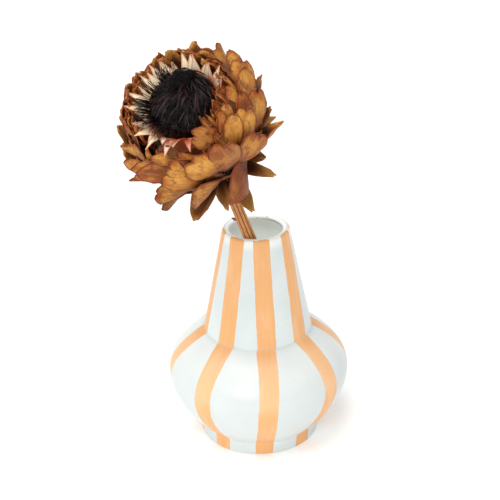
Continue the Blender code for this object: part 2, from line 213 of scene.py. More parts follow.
def carrier(name, points, edges=(), numbers=None, vectors=None):
    """A mesh of points alone, or of points on a line, with named numbers and vectors on each point."""
    mesh = bpy.data.meshes.new(name)
    mesh.from_pydata([tuple(p) for p in points], edges, [])
    for label, values in (numbers or {}).items():
        mesh.attributes.new(label, "FLOAT", "POINT").data.foreach_set("value", values)
    for label, values in (vectors or {}).items():
        flat = [part for vector in values for part in vector]
        mesh.attributes.new(label, "FLOAT_VECTOR", "POINT").data.foreach_set("vector", flat)
    obj = bpy.data.objects.new(name, mesh)
    bpy.context.scene.collection.objects.link(obj)
    return obj


def grown(obj, tree, sizes):
    """Runs the tree on the object with these sizes, and keeps the result as its plain mesh."""
    modifier = obj.modifiers.new("shape", "NODES")
    modifier.node_group = tree
    for item in tree.interface.items_tree:
        if item.in_out == "INPUT" and item.name in sizes:
            modifier[item.identifier] = sizes[item.name]
    finish = finished_mesh(obj)
    obj.modifiers.clear()
    obj.data = finish
    return obj


def finished_mesh(obj):
    graph = bpy.context.evaluated_depsgraph_get()
    graph.update()
    return bpy.data.meshes.new_from_object(obj.evaluated_get(graph))


def facing_out(obj):
    made = bmesh.new()
    made.from_mesh(obj.data)
    bmesh.ops.recalc_face_normals(made, faces=made.faces)
    made.to_mesh(obj.data)
    made.free()


def belly_radius(height, inset=0.0):
    """The belly's radius at a height, between the foot's crease and the shoulder."""
    if height < BELLY_HEIGHT:
        share = (BELLY_HEIGHT - height) / (BELLY_HEIGHT - CREASE_HEIGHT)
        edge = CREASE_RADIUS
    else:
        share = (height - BELLY_HEIGHT) / (SHOULDER_HEIGHT - BELLY_HEIGHT)
        edge = SHOULDER_RADIUS
    return BELLY_RADIUS - (BELLY_RADIUS - edge) * share**1.96 - inset


def vase_outline():
    """(radius, height) from the inner floor's middle, up the inside, over the lip and down the outside."""
    lip = (RIM_RADIUS - MOUTH_RADIUS) / 2
    lip_centre = (RIM_RADIUS + MOUTH_RADIUS) / 2
    line = [(0, VASE_FLOOR), (CREASE_RADIUS - VASE_WALL - 7 * MM, VASE_FLOOR)]
    line += [(belly_radius(h * MM, VASE_WALL), h * MM) for h in numpy.linspace(12.6, 80, 24)]
    line += [(SHOULDER_RADIUS - VASE_WALL, SHOULDER_HEIGHT - 1 * MM), (MOUTH_RADIUS, VASE_HEIGHT - lip)]
    for turn in numpy.linspace(math.pi, 0, 19):
        line.append((lip_centre + lip * math.cos(turn), VASE_HEIGHT - lip + lip * math.sin(turn)))
    line += [(belly_radius(h * MM), h * MM) for h in numpy.linspace(93.7, 12.4, 60)]
    line += [(FOOT_RADIUS, CREASE_HEIGHT - 1.6 * MM), (FOOT_RADIUS, 0.8 * MM), (FOOT_RADIUS - 0.8 * MM, 0), (0, 0)]
    return numpy.array(line)


def eased(line):
    """The line with its corners softened as glaze softens them, and its points spaced by how much it turns."""
    length = numpy.concatenate([[0], numpy.cumsum(numpy.linalg.norm(numpy.diff(line, axis=0), axis=1))])
    at = numpy.linspace(0, length[-1], int(length[-1] / (0.5 * MM)))
    fine = numpy.stack([numpy.interp(at, length, line[:, k]) for k in (0, 1)], axis=1)
    for _ in range(3):
        fine[1:-1] = (fine[:-2] + 2 * fine[1:-1] + fine[2:]) / 4
    kept = [0]
    for k in range(1, len(fine) - 1):
        before = fine[kept[-1] + 1] - fine[kept[-1]]
        after = fine[k + 1] - fine[k]
        turn = abs(math.atan2(before[0] * after[1] - before[1] * after[0], float(before @ after)))
        if turn > math.radians(7) or k - kept[-1] >= 7:
            kept.append(k)
    kept.append(len(fine) - 1)
    return fine[kept]


def turning_tree(finish):
    """Turns an outline of points (radius, 0, height) about Z into a closed shell."""
    tree, line, size = new_tree("turned on a wheel", {"Steps": 64, "Outline Points": 10, "Unevenness": 0.0})
    steps, count = size["Steps"], size["Outline Points"]
    sheet = add_node(tree, "GeometryNodeMeshGrid")
    feed(sheet.inputs["Vertices X"], steps + 1)
    feed(sheet.inputs["Vertices Y"], count)
    index = Field(tree, tree.nodes.new("GeometryNodeInputIndex").outputs[0])
    place = index.reckon("MODULO", count)
    sample = add_node(tree, "GeometryNodeSampleIndex", data_type="FLOAT_VECTOR")
    tree.links.new(line, sample.inputs["Geometry"])
    feed(sample.inputs["Value"], Field(tree, tree.nodes.new("GeometryNodeInputPosition").outputs[0]))
    feed(sample.inputs["Index"], place)
    radius, _, height = split(tree, Field(tree, sample.outputs["Value"]))
    angle = (index / count).reckon("FLOOR").reckon("MODULO", steps) * math.tau / steps
    ring = joined(tree, angle.cosine(), angle.sine(), height * 14)
    bumpy = (noise(tree, ring, 2.0, 2.0) - 0.5) * size["Unevenness"] * (radius / (20 * MM)).least(1)
    radius = radius + bumpy
    turned = joined(tree, radius * angle.cosine(), radius * angle.sine(), height)
    shell = step(tree, "GeometryNodeSetPosition", sheet.outputs["Mesh"], Position=turned)
    whole = step(tree, "GeometryNodeMergeByDistance", shell, Distance=0.000002)
    close_tree(tree, whole, finish)
    return tree


def colour(red, green, blue):
    """A colour from its display values of 0 to 255."""
    linear = [c / 12.92 if c <= 0.04045 else ((c + 0.055) / 1.055) ** 2.4 for c in (red / 255, green / 255, blue / 255)]
    return (*linear, 1)


def new_finish(name, roughness):
    """A material, its node tree and its shader."""
    made = bpy.data.materials.new(name)
    made.use_nodes = True
    shader = made.node_tree.nodes["Principled BSDF"]
    shader.inputs["Roughness"].default_value = roughness
    return made, made.node_tree, shader


def seen(tree, name):
    """A piece's own attribute, in a material."""
    return Field(tree, add_node(tree, "ShaderNodeAttribute", attribute_name=name).outputs["Fac"])


def blended(tree, share, first, second, kind="MIX"):
    made = add_node(tree, "ShaderNodeMix", data_type="RGBA", blend_type=kind)
    feed(made.inputs[0], share)
    feed(made.inputs[6], first)
    feed(made.inputs[7], second)
    return Field(tree, made.outputs[2])


def object_place(tree):
    return Field(tree, tree.nodes.new("ShaderNodeTexCoord").outputs["Object"])


def raised(tree, shader, height, distance, strength=1.0):
    """Feeds the shader a normal from a height field."""
    made = tree.nodes.new("ShaderNodeBump")
    made.inputs["Strength"].default_value = strength
    made.inputs["Distance"].default_value = distance
    feed(made.inputs["Height"], height)
    tree.links.new(made.outputs[0], shader.inputs["Normal"])


def striped_glaze():
    """White glaze with brushed stripes, with painted light, shade, reflection and glow. The stripe attributes are in
    millimetres.
    """
    finish, tree, shader = new_finish("striped_glaze", 0.34)
    place = object_place(tree)
    x, y, z = split(tree, place)
    depth = seen(tree, "stripe_depth")
    across = seen(tree, "stripe_across")
    number = seen(tree, "stripe_number")
    wobble = (noise(tree, place, 75, 2) - 0.5) * 1.3 + (noise(tree, place, 420, 2) - 0.5) * 0.5
    painted = (depth + wobble).stepped(-0.16, 0.16)
    strokes = noise(tree, joined(tree, across * 1.1, number * 7.3, z * 22), 1, 3, 0.6)
    patches = noise(tree, joined(tree, across * 0.09, number * 3.1, z * 30), 1, 2)
    hue = blended(tree, strokes.stepped(0.36, 0.72) * 0.4, colour(232, 170, 108), colour(242, 192, 138))
    hue = blended(tree, patches.stepped(0.45, 0.75) * 0.5, hue, colour(244, 194, 146))
    hue = blended(tree, (1 - depth.stepped(0.1, 1.1)) * 0.35, hue, colour(222, 158, 96))
    # painted reflection: the stripes are paler on the belly's top, where the glaze would mirror the light from above
    shoulder = (z / MM).stepped(46, 62) * (1 - (z / MM).stepped(84, 93))
    hue = blended(tree, shoulder * 0.3, hue, colour(250, 216, 178))
    mottle = noise(tree, place, 38, 3)
    white = blended(tree, mottle.stepped(0.3, 0.7), colour(211, 220, 220), colour(217, 225, 225))
    # painted shade: the white is darker on the lower belly, which faces away from the light above
    painted_low_shade = (z / MM).stepped(10, 30) * (1 - (z / MM).stepped(60, 84))
    white = blended(tree, painted_low_shade * 0.5, white, colour(206, 213, 213))
    within = seen(tree, "inside").stepped(0.4, 1)
    height = z / MM
    # painted light: the white is lighter on the belly's top and on the lip, where the light from above falls
    painted_light = height.stepped(62, 84) * (1 - height.stepped(90, 94)) * 0.45 + height.stepped(170, 177)
    white = blended(tree, painted_light.least(1) * 0.8, white, colour(244, 244, 240))
    # painted light: the inside of the vase is whiter than the outside, as if lit through the mouth
    white = blended(tree, within, white, colour(252, 254, 251))
    # painted shade: a grey band on the inside of the neck just below the lip
    neck_shade = within * height.stepped(158, 174) * (1 - height.stepped(177.6, 179.2))
    white = blended(tree, neck_shade * 0.6, white, colour(184, 184, 178))
    # painted shadow: a thin brown-grey line along the inner edge of the lip on the right
    painted_lip_shadow = within * (1 - abs(height - 177.2).stepped(0.3, 1.1)) * (x / MM).stepped(0, 14)
    white = blended(tree, painted_lip_shadow * 0.7, white, colour(120, 104, 88))
    # thinner glaze and painted shade: a grey line in the creases at the shoulder and at the foot
    crease_glaze_and_shade = (1 - abs(z - SHOULDER_HEIGHT).stepped(0.2 * MM, 1.5 * MM)).most(
        1 - abs(z - (CREASE_HEIGHT - 0.5 * MM)).stepped(0.2 * MM, 1.6 * MM)
    )
    specks = noise(tree, place, 900, 0).stepped(0.74, 0.78)
    dirt = noise(tree, place, 500, 2).stepped(0.66, 0.72) * (z / MM).stepped(168, 176)
    inside = 1 - (x * x + y * y).reckon("SQRT").stepped(21.6 * MM, 22.4 * MM)
    glaze = blended(tree, painted, white, hue)
    glaze = blended(tree, crease_glaze_and_shade * 0.22, glaze, colour(196, 190, 176))
    glaze = blended(tree, specks * 0.16, glaze, colour(150, 132, 108))
    glaze = blended(tree, dirt * inside * 0.75, glaze, colour(140, 112, 66))
    clay = (z / MM).stepped(0.25, 0.6)
    glaze = blended(tree, 1 - clay, glaze, colour(205, 192, 172))
    feed(shader.inputs["Base Color"], glaze)
    # painted glow: the inside of the vase gives off a faint light of its own
    painted_inner_glow = blended(tree, within, colour(0, 0, 0), colour(240, 255, 250))
    feed(shader.inputs["Emission Color"], painted_inner_glow)
    shader.inputs["Emission Strength"].default_value = 0.12
    feed(shader.inputs["Roughness"], 0.3 + mottle * 0.1 + painted * 0.07 + (1 - clay) * 0.4)
    rings = noise(tree, joined(tree, x * 9, y * 9, z * 900), 1, 1)
    swell = noise(tree, place, 45, 2)
    raised(tree, shader, swell * 0.5 + rings * 0.04 + painted * 0.1 + strokes * painted * 0.06, 0.4 * MM)
    return finish


# Each stripe's azimuth in degrees to the right of the front, at the lip, above and below the shoulder's
# crease, at the belly and at the foot, and how far below the lip's top it starts
STRIPES = [
    ((8.2, 8.9, 7.6, 5.2, 3.6), 0.3),
    ((60.0, 51.0, 53.0, 51.7, 45.0), 0.1),
    ((99.0, 97.0, 96.0, 95.0, 93.0), 0.5),
    ((142.0, 140.0, 139.0, 141.0, 140.0), 0.2),
    ((186.0, 185.0, 187.0, 184.0, 185.0), 0.7),
    ((231.0, 233.0, 232.0, 231.0, 233.0), 0.3),
    ((280.0, 279.0, 278.0, 277.0, 277.0), 0.2),
    ((325.5, 323.3, 323.0, 321.0, 320.2), 0.4),
]
STRIPE_HEIGHTS = [180 * MM, 93.9 * MM, 93.5 * MM, 52 * MM, 0.0]
STRIPE_WIDTHS = [12.7, 15.1, 15.3, 15.5, 13.8]


def mark_stripes(obj):
    """Stores how deep each point lies in a stripe, how far from its middle, and which stripe it is."""
    mesh = obj.data
    count = len(mesh.vertices)
    points = numpy.empty(count * 3)
    normals = numpy.empty(count * 3)
    mesh.vertices.foreach_get("co", points)
    mesh.vertices.foreach_get("normal", normals)
    points, normals = points.reshape(-1, 3), normals.reshape(-1, 3)
    x, y, z = points.T
    azimuth = numpy.degrees(numpy.arctan2(x, -y))
    radius = numpy.hypot(x, y)
    depth = numpy.full(count, -99.0)
    across = numpy.zeros(count)
    number = numpy.zeros(count)
    for k, (middles, start) in enumerate(STRIPES):
        middle = numpy.interp(z, STRIPE_HEIGHTS[::-1], middles[::-1])
        width = numpy.interp(z, STRIPE_HEIGHTS[::-1], STRIPE_WIDTHS[::-1])
        away = numpy.radians((azimuth - middle + 180) % 360 - 180) * radius / MM
        below = (VASE_HEIGHT - z) / MM - start - 0.008 * away**2
        mine = numpy.minimum(numpy.minimum(width / 2 - numpy.abs(away), below), z / MM - 0.4)
        better = mine > depth
        depth[better], across[better], number[better] = mine[better], away[better], k
    outward = (normals[:, 0] * x + normals[:, 1] * y) / numpy.maximum(radius, 1e-6)
    inner = ((outward < -0.02) & (z > VASE_FLOOR)) | (radius < MOUTH_RADIUS) & (z > 1 * MM)
    depth[inner] = -9
    inner = inner.astype(float)
    marks = {"stripe_depth": depth, "stripe_across": across, "stripe_number": number, "inside": inner}
    for label, values in marks.items():
        mesh.attributes.new(label, "FLOAT", "POINT").data.foreach_set("value", values.astype(numpy.float32))


outline = eased(vase_outline())
turn_vase = turning_tree(striped_glaze())
vase = carrier("glazed_vase", [(r, 0, z) for r, z in outline], [(k, k + 1) for k in range(len(outline) - 1)])
grown(vase, turn_vase, {"Steps": VASE_STEPS, "Outline Points": len(outline), "Unevenness": 0.35 * MM})
facing_out(vase)
mark_stripes(vase)
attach(vase, "root")
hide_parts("vase")


# Stem. One dried stalk, ribbed and fibrous, cut at its foot. It stands inside the vase with its cut
# end against the belly, leans on the front of the lip, and bends over into the flower head. A torn
# leaf base is left on its side.
STEM_FOOT = Vector((36.2, 43.15, 34.0)) * MM
STEM_AT_LIP = Vector((-5.65, -15.6, 180.0)) * MM
STEM_RADIUS = 4.9 * MM
STEM_NECK_RADIUS = 4.3 * MM
STEM_RIBS = 9
RIB_DEPTH = 0.55 * MM
BEND_START = 40 * MM
BEND_HANDLE = 14 * MM
STEM_STATIONS = 90
HEAD_CENTRE = Vector((-40.5, -70.0, 292.0)) * MM
HEAD_LEAN_FRONT = math.radians(37.6)
HEAD_LEAN_LEFT = math.radians(19)
CUP_BOTTOM = -40 * MM
SEAT_GAP = 0.35 * MM
LEAF_STUB_ROOT = Vector((-12.6, -21.4, 195.8)) * MM
LEAF_STUB_TIP = Vector((-18.6, -22.4, 197.6)) * MM
HEAD = Matrix.Translation(HEAD_CENTRE) @ (
    Matrix.Rotation(-HEAD_LEAN_LEFT, 4, "Y") @ Matrix.Rotation(HEAD_LEAN_FRONT, 4, "X")
)


def stem_centre(share):
    """A point on the stem's centreline: straight up past the lip, then bending into the head's axis."""
    run = (STEM_AT_LIP - STEM_FOOT).normalized()
    bend = STEM_AT_LIP + run * BEND_START
    axis = (HEAD.to_3x3() @ Vector((0, 0, 1))).normalized()
    top = HEAD @ Vector((0, 0, CUP_BOTTOM - 2 * SEAT_GAP))
    straight = (bend - STEM_FOOT).length
    curved = (top - bend).length
    at = share * (straight + curved)
    if at <= straight:
        return STEM_FOOT + run * at
    t = (at - straight) / curved
    first = bend + run * BEND_HANDLE
    second = top - axis * BEND_HANDLE
    s = 1 - t
    return bend * s**3 + first * 3 * s * s * t + second * 3 * s * t * t + top * t**3


def stalk_tree(finish):
    """Draws a ribbed stalk along a line, as thick at each point as its "reach" says."""
    sizes = {"Ribs": 9, "Ribs Around": 72, "Rib Depth": 0.0, "Twist": 0.0}
    tree, line, size = new_tree("ribbed stalk", sizes)
    curve = step(tree, "GeometryNodeMeshToCurve", line)
    spline = tree.nodes.new("GeometryNodeSplineParameter")
    share, length = Field(tree, spline.outputs["Factor"]), Field(tree, spline.outputs["Length"])
    curve = step(tree, "GeometryNodeSetCurveTilt", curve, Tilt=share * size["Twist"])
    curve = stored(tree, curve, "along", length / MM)
    ring = tree.nodes.new("GeometryNodeCurvePrimitiveCircle")
    feed(ring.inputs["Resolution"], size["Ribs Around"])
    ring.inputs["Radius"].default_value = 1
    index = Field(tree, tree.nodes.new("GeometryNodeInputIndex").outputs[0])
    turn = index / size["Ribs Around"] * math.tau
    valley = (turn * size["Ribs"]).cosine() * 0.5 + 0.5
    fine = (turn * size["Ribs"] * 3 + 1).cosine() * 0.16
    reach = 1 - (valley**2.2 + fine) * size["Rib Depth"]
    x, y, z = split(tree)
    profile = step(tree, "GeometryNodeSetPosition", ring.outputs[0], Position=joined(tree, x * reach, y * reach, z))
    profile = stored(tree, profile, "valley", valley)
    profile = stored(tree, profile, "around", turn)
    made = tree.nodes.new("GeometryNodeCurveToMesh")
    tree.links.new(curve, made.inputs["Curve"])
    tree.links.new(profile, made.inputs["Profile Curve"])
    feed(made.inputs["Scale"], named(tree, "reach"))
    made.inputs["Fill Caps"].default_value = True
    close_tree(tree, made.outputs[0], finish)
    return tree


def dry_fibre():
    """A node group for dried plant skin: its fibres, blotches and specks over a place in millimetres."""
    group = bpy.data.node_groups.new("dry fibre", "ShaderNodeTree")
    for label in ("Along", "Across", "Number", "Fineness"):
        group.interface.new_socket(name=label, in_out="INPUT", socket_type="NodeSocketFloat")
    for label in ("Fibres", "Blotches", "Specks"):
        group.interface.new_socket(name=label, in_out="OUTPUT", socket_type="NodeSocketFloat")
    entry = group.nodes.new("NodeGroupInput")
    along, across, number, fine = [Field(group, entry.outputs[k]) for k in range(4)]
    drift = noise(group, joined(group, along * 0.12, across * 0.2, number * 5.1), 1, 1) * 1.6
    threads = noise(group, joined(group, along * 0.16, (across + drift) * fine, number * 3.7), 1, 4, 0.7)
    blotches = noise(group, joined(group, along * 0.13, across * 0.15, number * 9.3), 1, 4, 0.6)
    specks = noise(group, joined(group, along * 0.95, across * 1.2, number * 1.9), 1, 1)
    leave = group.nodes.new("NodeGroupOutput")
    for slot, value in zip(leave.inputs, (threads, blotches, specks)):
        feed(slot, value)
    return group


def fibred(tree, along, across, number, fineness):
    """The three fields of dry fibre, placed in a material with its own values."""
    made = add_node(tree, "ShaderNodeGroup", node_tree=DRY_FIBRE)
    for slot, value in zip(made.inputs, (along, across, number, fineness)):
        feed(slot, value)
    return [Field(tree, out) for out in made.outputs]


DRY_FIBRE = dry_fibre()


def stalk_skin():
    finish, tree, shader = new_finish("dry_stalk", 0.55)
    along = seen(tree, "along")
    around = seen(tree, "around")
    valley = seen(tree, "valley")
    ring = joined(tree, around.cosine(), around.sine(), 0)
    across = around * (STEM_RADIUS / MM)
    threads, blotches, specks = fibred(tree, along, across, 3.0, 3.2)
    hatch = (along * 3.4 + around * 9 + noise(tree, ring, 3) * 4).sine() * 0.5 + 0.5
    hue = blended(tree, threads.stepped(0.3, 0.7), colour(172, 98, 38), colour(232, 164, 86))
    hue = blended(tree, hatch * 0.28, hue, colour(118, 62, 32))
    hue = blended(tree, valley.stepped(0.6, 0.98) * 0.85, hue, colour(84, 36, 18))
    hue = blended(tree, blotches.stepped(0.56, 0.75) * 0.6, hue, colour(120, 66, 38))
    hue = blended(tree, specks.stepped(0.68, 0.74) * 0.6, hue, colour(70, 34, 20))
    cut = 1 - along.stepped(0.05, 0.3)
    hue = blended(tree, cut, hue, colour(206, 170, 118))
    feed(shader.inputs["Base Color"], hue)
    feed(shader.inputs["Roughness"], 0.45 + threads * 0.3)
    raised(tree, shader, threads * 0.5 + hatch * 0.22, 0.35 * MM)
    return finish


def stem_reach(share):
    taper = STEM_RADIUS + (STEM_NECK_RADIUS - STEM_RADIUS) * min(1, share / 0.85) ** 2
    return taper + 1.6 * MM * max(0, (share - 0.85) / 0.15) ** 2


shares = [k / (STEM_STATIONS - 1) for k in range(STEM_STATIONS)]
stem_edges = [(k, k + 1) for k in range(STEM_STATIONS - 1)]
stem = carrier("ribbed_stem", [stem_centre(s) for s in shares], stem_edges, {"reach": [stem_reach(s) for s in shares]})
stem_finish = stalk_skin()
rib_share = RIB_DEPTH / STEM_RADIUS
grown(stem, stalk_tree(stem_finish), {"Ribs": STEM_RIBS, "Ribs Around": 108, "Rib Depth": rib_share, "Twist": 0.5})
facing_out(stem)
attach(stem, "root")
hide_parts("stem")


def torn_stub():
    """A ragged dry flap, closed, from its root on the stalk to its torn tip."""
    along = LEAF_STUB_TIP - LEAF_STUB_ROOT
    out = along.normalized()
    side = out.cross(Vector((0, -1, 0))).normalized()
    face = side.cross(out).normalized()
    rows = [(0.0, 2.6, 1.1, 0), (0.3, 1.9, 0.9, 0.25), (0.62, 1.2, 0.6, -0.2), (0.86, 0.7, 0.4, 0.3), (1.0, 0.12, 0.1, 0)]
    points, faces = [], []
    for share, width, depth, shift in rows:
        centre = LEAF_STUB_ROOT + along * share + side * shift * MM
        for k in range(10):
            turn = math.tau * k / 10
            ragged = 1 + 0.18 * math.sin(3 * turn + 9 * share)
            points.append(centre + (side * width * math.cos(turn) + face * depth * math.sin(turn)) * ragged * MM)
    for i in range(len(rows) - 1):
        for k in range(10):
            j = (k + 1) % 10
            faces.append((i * 10 + k, i * 10 + j, i * 10 + 10 + j, i * 10 + 10 + k))
    faces += [tuple(range(10)), tuple(range(len(points) - 10, len(points)))]
    mesh = bpy.data.meshes.new("torn_leaf_base")
    mesh.from_pydata([tuple(p) for p in points], [], faces)
    mesh.materials.append(stem_finish)
    mesh.attributes.new("along", "FLOAT", "POINT").data.foreach_set("value", [30.0] * len(points))
    mesh.attributes.new("around", "FLOAT", "POINT").data.foreach_set("value", [k * 0.2 for k in range(len(points))])
    mesh.attributes.new("valley", "FLOAT", "POINT").data.foreach_set("value", [0.9] * len(points))
    obj = bpy.data.objects.new("torn_leaf_base", mesh)
    bpy.context.scene.collection.objects.link(obj)
    facing_out(obj)
    return obj


stub = torn_stub()
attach(stub, "root")


# Receptacle. The fleshy base of the flower, dried hard: a cup on the top of the stem that every bract
# grows out of. Its open top holds the pale bracts and the florets. It hardly shows.
CUP_TOP = 6 * MM
CUP_RADIUS = 36 * MM
NECK_RADIUS = 6.5 * MM
HOLLOW_RADIUS = 25.2 * MM
HOLLOW_FLOOR = -12 * MM


def woody():
    finish, tree, shader = new_finish("dry_receptacle", 0.7)
    place = object_place(tree)
    grain = noise(tree, place, 160, 3)
    patch = noise(tree, place, 40, 2)
    hue = blended(tree, grain, colour(66, 36, 24), colour(128, 74, 40))
    feed(shader.inputs["Base Color"], blended(tree, patch.stepped(0.45, 0.7) * 0.5, hue, colour(92, 46, 30)))
    raised(tree, shader, grain, 0.6 * MM)
    return finish


cup_outline = [(0, HOLLOW_FLOOR), (HOLLOW_RADIUS, HOLLOW_FLOOR), (HOLLOW_RADIUS, CUP_TOP)]
cup_outline += [(CUP_RADIUS - 3 * MM, CUP_TOP), (CUP_RADIUS, -4 * MM), (CUP_RADIUS - 2.5 * MM, -16 * MM)]
cup_outline += [(24 * MM, -30 * MM), (NECK_RADIUS, CUP_BOTTOM + 1 * MM), (NECK_RADIUS, CUP_BOTTOM), (0, CUP_BOTTOM)]
turn_wood = turning_tree(woody())
cup = carrier("receptacle", [(r, 0, z) for r, z in cup_outline], [(k, k + 1) for k in range(len(cup_outline) - 1)])
grown(cup, turn_wood, {"Steps": 48, "Outline Points": len(cup_outline), "Unevenness": 1.2 * MM})
facing_out(cup)
cup.data.transform(HEAD)
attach(cup, "root")
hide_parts("bracts")


# Brown bracts. The flower's tough outer scales, dried golden brown, set in one spiral on the receptacle
# from the small pointed ones bent back at the stem up to the thin curled ones round the opening. Each
# is a leathery blade with a torn, rust-coloured margin and a dark, smoother inner face.
GLOBE_RADIUS = 52.5 * MM
SLEEVE_HEIGHTS = [-12 * MM, 18 * MM, 30 * MM, 38 * MM, 44 * MM, 50 * MM]
FLORET_SLEEVE = [22.4 * MM, 23.2 * MM, 25.6 * MM, 28.0 * MM, 30.0 * MM, 31.5 * MM]
PALE_SLEEVE = [25.4 * MM, 27.2 * MM, 29.2 * MM, 31.4 * MM, 32.6 * MM, 34.0 * MM]
SLEEVE_GAP = 0.3 * MM
SWAY_ANGLE = math.radians(8.5)
SWAY_AXIS = Vector((-0.72, -0.69, 0.0))
SWAY_START = 2 * MM
SWAY_END = 42 * MM
GOLDEN_ANGLE = math.radians(137.508)
BASAL_COUNT = 9
MAIN_COUNT = 56
RIM_COUNT = 24
LOWEST_TIP = math.radians(124)
HIGHEST_TIP = math.radians(43)
BRACT_WIDTH = 21.5 * MM
BRACT_THICKNESS = 0.75 * MM
BRACT_SEED = 11
DROOP_SIDE = math.radians(-92)


def basal_bract(index, chance):
    """A short pointed bract bent back at the stem."""
    return {
        "tip": math.radians(134) + chance.uniform(-0.06, 0.06),
        "span": math.radians(30),
        "reach": 51 * MM,
        "width": 17 * MM * chance.uniform(0.85, 1.15),
        "lift": 17 * MM * chance.uniform(0.4, 1),
        "cup": 18 * MM,
        "notch": 0,
        "point": 0.8,
        "rise": 1.2,
        "twist": chance.uniform(-0.3, 0.3),
    }


def main_bract(index, chance):
    """A broad blunt bract. The lowest rows spread out from the globe."""
    share = (index - BASAL_COUNT) / (MAIN_COUNT - 1)
    tip = math.acos(math.cos(LOWEST_TIP) + (math.cos(HIGHEST_TIP) - math.cos(LOWEST_TIP)) * share)
    low = max(0, 1 - share / 0.22)
    spread = 0.55 + 0.45 * math.cos(index * GOLDEN_ANGLE - DROOP_SIDE)
    return {
        "tip": tip + chance.uniform(-0.05, 0.05),
        "span": math.radians(60 - 14 * low) * chance.uniform(0.95, 1.05),
        "reach": GLOBE_RADIUS + chance.uniform(-1.5, 1.5) * MM,
        "width": BRACT_WIDTH * (1 - 0.12 * low) * chance.uniform(0.86, 1.1),
        "lift": (0.8 + 23 * low * spread * chance.uniform(0.6, 1)) * MM,
        "cup": 25 * MM * chance.uniform(0.75, 1.3),
        "notch": chance.uniform(0, 0.08),
        "point": chance.choice((0, 0, 0.15, 0.4)),
        "rise": 1.75,
        "twist": chance.uniform(-0.2, 0.2),
    }


def rim_bract(index, chance):
    """A thin curled bract at the edge of the opening."""
    return {
        "tip": math.radians(37) + chance.uniform(-0.05, 0.1),
        "span": math.radians(55),
        "reach": GLOBE_RADIUS + chance.uniform(1, 5.5) * MM,
        "width": 15.5 * MM * chance.uniform(0.8, 1.2),
        "lift": chance.uniform(-1, 1.5) * MM,
        "cup": 8 * MM * chance.uniform(0.8, 1.4),
        "notch": chance.uniform(0, 0.1),
        "point": chance.choice((0, 0.3, 0.8)),
        "rise": 1.7,
        "twist": chance.uniform(-0.5, 0.5),
    }


# The bracts that face the front, each with its tip's angle from the head's axis, its azimuth on the head,
# how far it turns aside from pointing at the opening, the angle from its tip to its root, its width, how
# far its tip stands from the head's centre, its point (0 blunt to 1 sharp), its hook, its twist and the
# share of brown in its colour; angles in degrees and lengths in millimetres
FRONT_BRACTS = [
    (45, 276, 50, 50, 18, 49.5, 0.1, 1.2, 0, 0.75),
    (55, 256, 46, 44, 10, 50.5, 0, -1, -0.2, 0.35),
    (57, 230, 82, 44, 11, 51, 0.1, 1.2, -0.7, 0.5),
    (58, 248, 46, 44, 12, 51.5, 0.1, 1.6, -0.4, 0.4),
    (48, 330, -58, 50, 13, 50.5, 0.3, 1.2, 0.3, 0.55),
    (45, 319, -36, 44, 10, 50, 0.5, 1.2, 0.4, 0.7),
    (53, 322, -44, 52, 15, 50.8, 0.15, 1.2, 0.3, 0.3),
    (55, 347, -46, 50, 16, 52, 0.8, 1.2, 0.5, 0.85),
    (47, 350, -52, 46, 12, 50.5, 0.5, 1.2, 0.5, 0.5),
    (60, 335, -50, 54, 17, 52.8, 0, 1.2, 0.4, 0.35),
    (59, 298, -22, 58, 24, 53.8, 0, 1.2, 0.15, 0.75),
    (57, 268, 18, 56, 25, 53.8, 0.1, 1.2, -0.25, 0.12),
    (61, 13, -66, 52, 15, 53, 0, 1.2, 0.7, 0.6),
    (67, 28, 14, 50, 15, 53.5, 0.2, 1.2, 0.8, 0.5),
    (68, 43, -72, 50, 17, 54, 0.3, 0.2, 0.8, 0.4),
    (68, 356, -64, 54, 18, 54.2, 0.1, 1.2, 0.5, 0.45),
    (85, 17, 0, 54, 18, 54, 0.2, 1.2, 0.7, 0.8),
    (75, 324, -54, 54, 21, 55.6, 0.15, 1.2, 0.5, 0.6),
    (71, 238, 66, 54, 18, 56, 0.1, 1.2, -0.5, 0.35),
    (85, 256, 34, 46, 20, 58, 0.15, 1.2, -1.1, 0.45),
    (61, 244, 54, 50, 18, 53.8, 0.1, 1.2, -0.5, 0.4),
    (71, 217, 92, 54, 16, 54.5, 0.2, 2.4, -0.6, 0.75),
    (69, 212, 76, 50, 15, 54.2, 0.1, 2.6, -0.6, 0.45),
    (85, 207, 14, 46, 18, 55.5, 0.2, 1.2, -1.1, 0.45),
    (89, 226, 36, 50, 20, 56.8, 0.2, 1.2, -1.5, 0.55),
    (105, 226, 34, 34, 18, 59.5, 0.2, 1.2, -1.5, 0.5),
    (66, 190, 26, 50, 19, 50.5, 0.2, 2, -0.8, 0.4),
    (83, 192, 56, 50, 18, 52.8, 0.2, 1.2, -1, 0.5),
    (90, 339, 2, 54, 19, 58, 0.3, 1.5, 0.8, 0.3),
    (98, 276, 80, 44, 24, 63, 1, 0.2, -1.3, 0.9),
    (60, 24, -70, 50, 17, 52.5, 0.3, 0.2, 0.7, 0.45),
    (72, 30, -72, 50, 18, 53.2, 0.1, 0.2, 0.6, 0.3),
    (57, 64, 5, 44, 26, 55, 0.85, 0.8, 1.2, 0.9),
    (63, 52, -30, 46, 20, 54.5, 0.1, 0.8, 1.2, 0.5),
]
# The low bracts of the spiral that hang at the front, by their place in it: the tip's angle, the azimuth,
# how far the tip stands off, and the width
HANGING_BRACTS = {
    0: (131, 10, 12, 12),
    2: (138, 269, 14, 13),
    5: (130, 328, 3, 14),
    10: (122, 287, 20, 16),
    13: (119, 355, 5, 17),
    15: (112, 251, 13, 19),
    18: (106, 311, 13, 11),
}
FRONT_FIRST_AZIMUTH = 186
FRONT_LAST_AZIMUTH = 62
LEFT_LAST_AZIMUTH = 250
SUNK = 4.5 * MM
FRINGE_COUNT = 54
FRINGE_START = math.radians(-62)
FRINGE_END = math.radians(208)


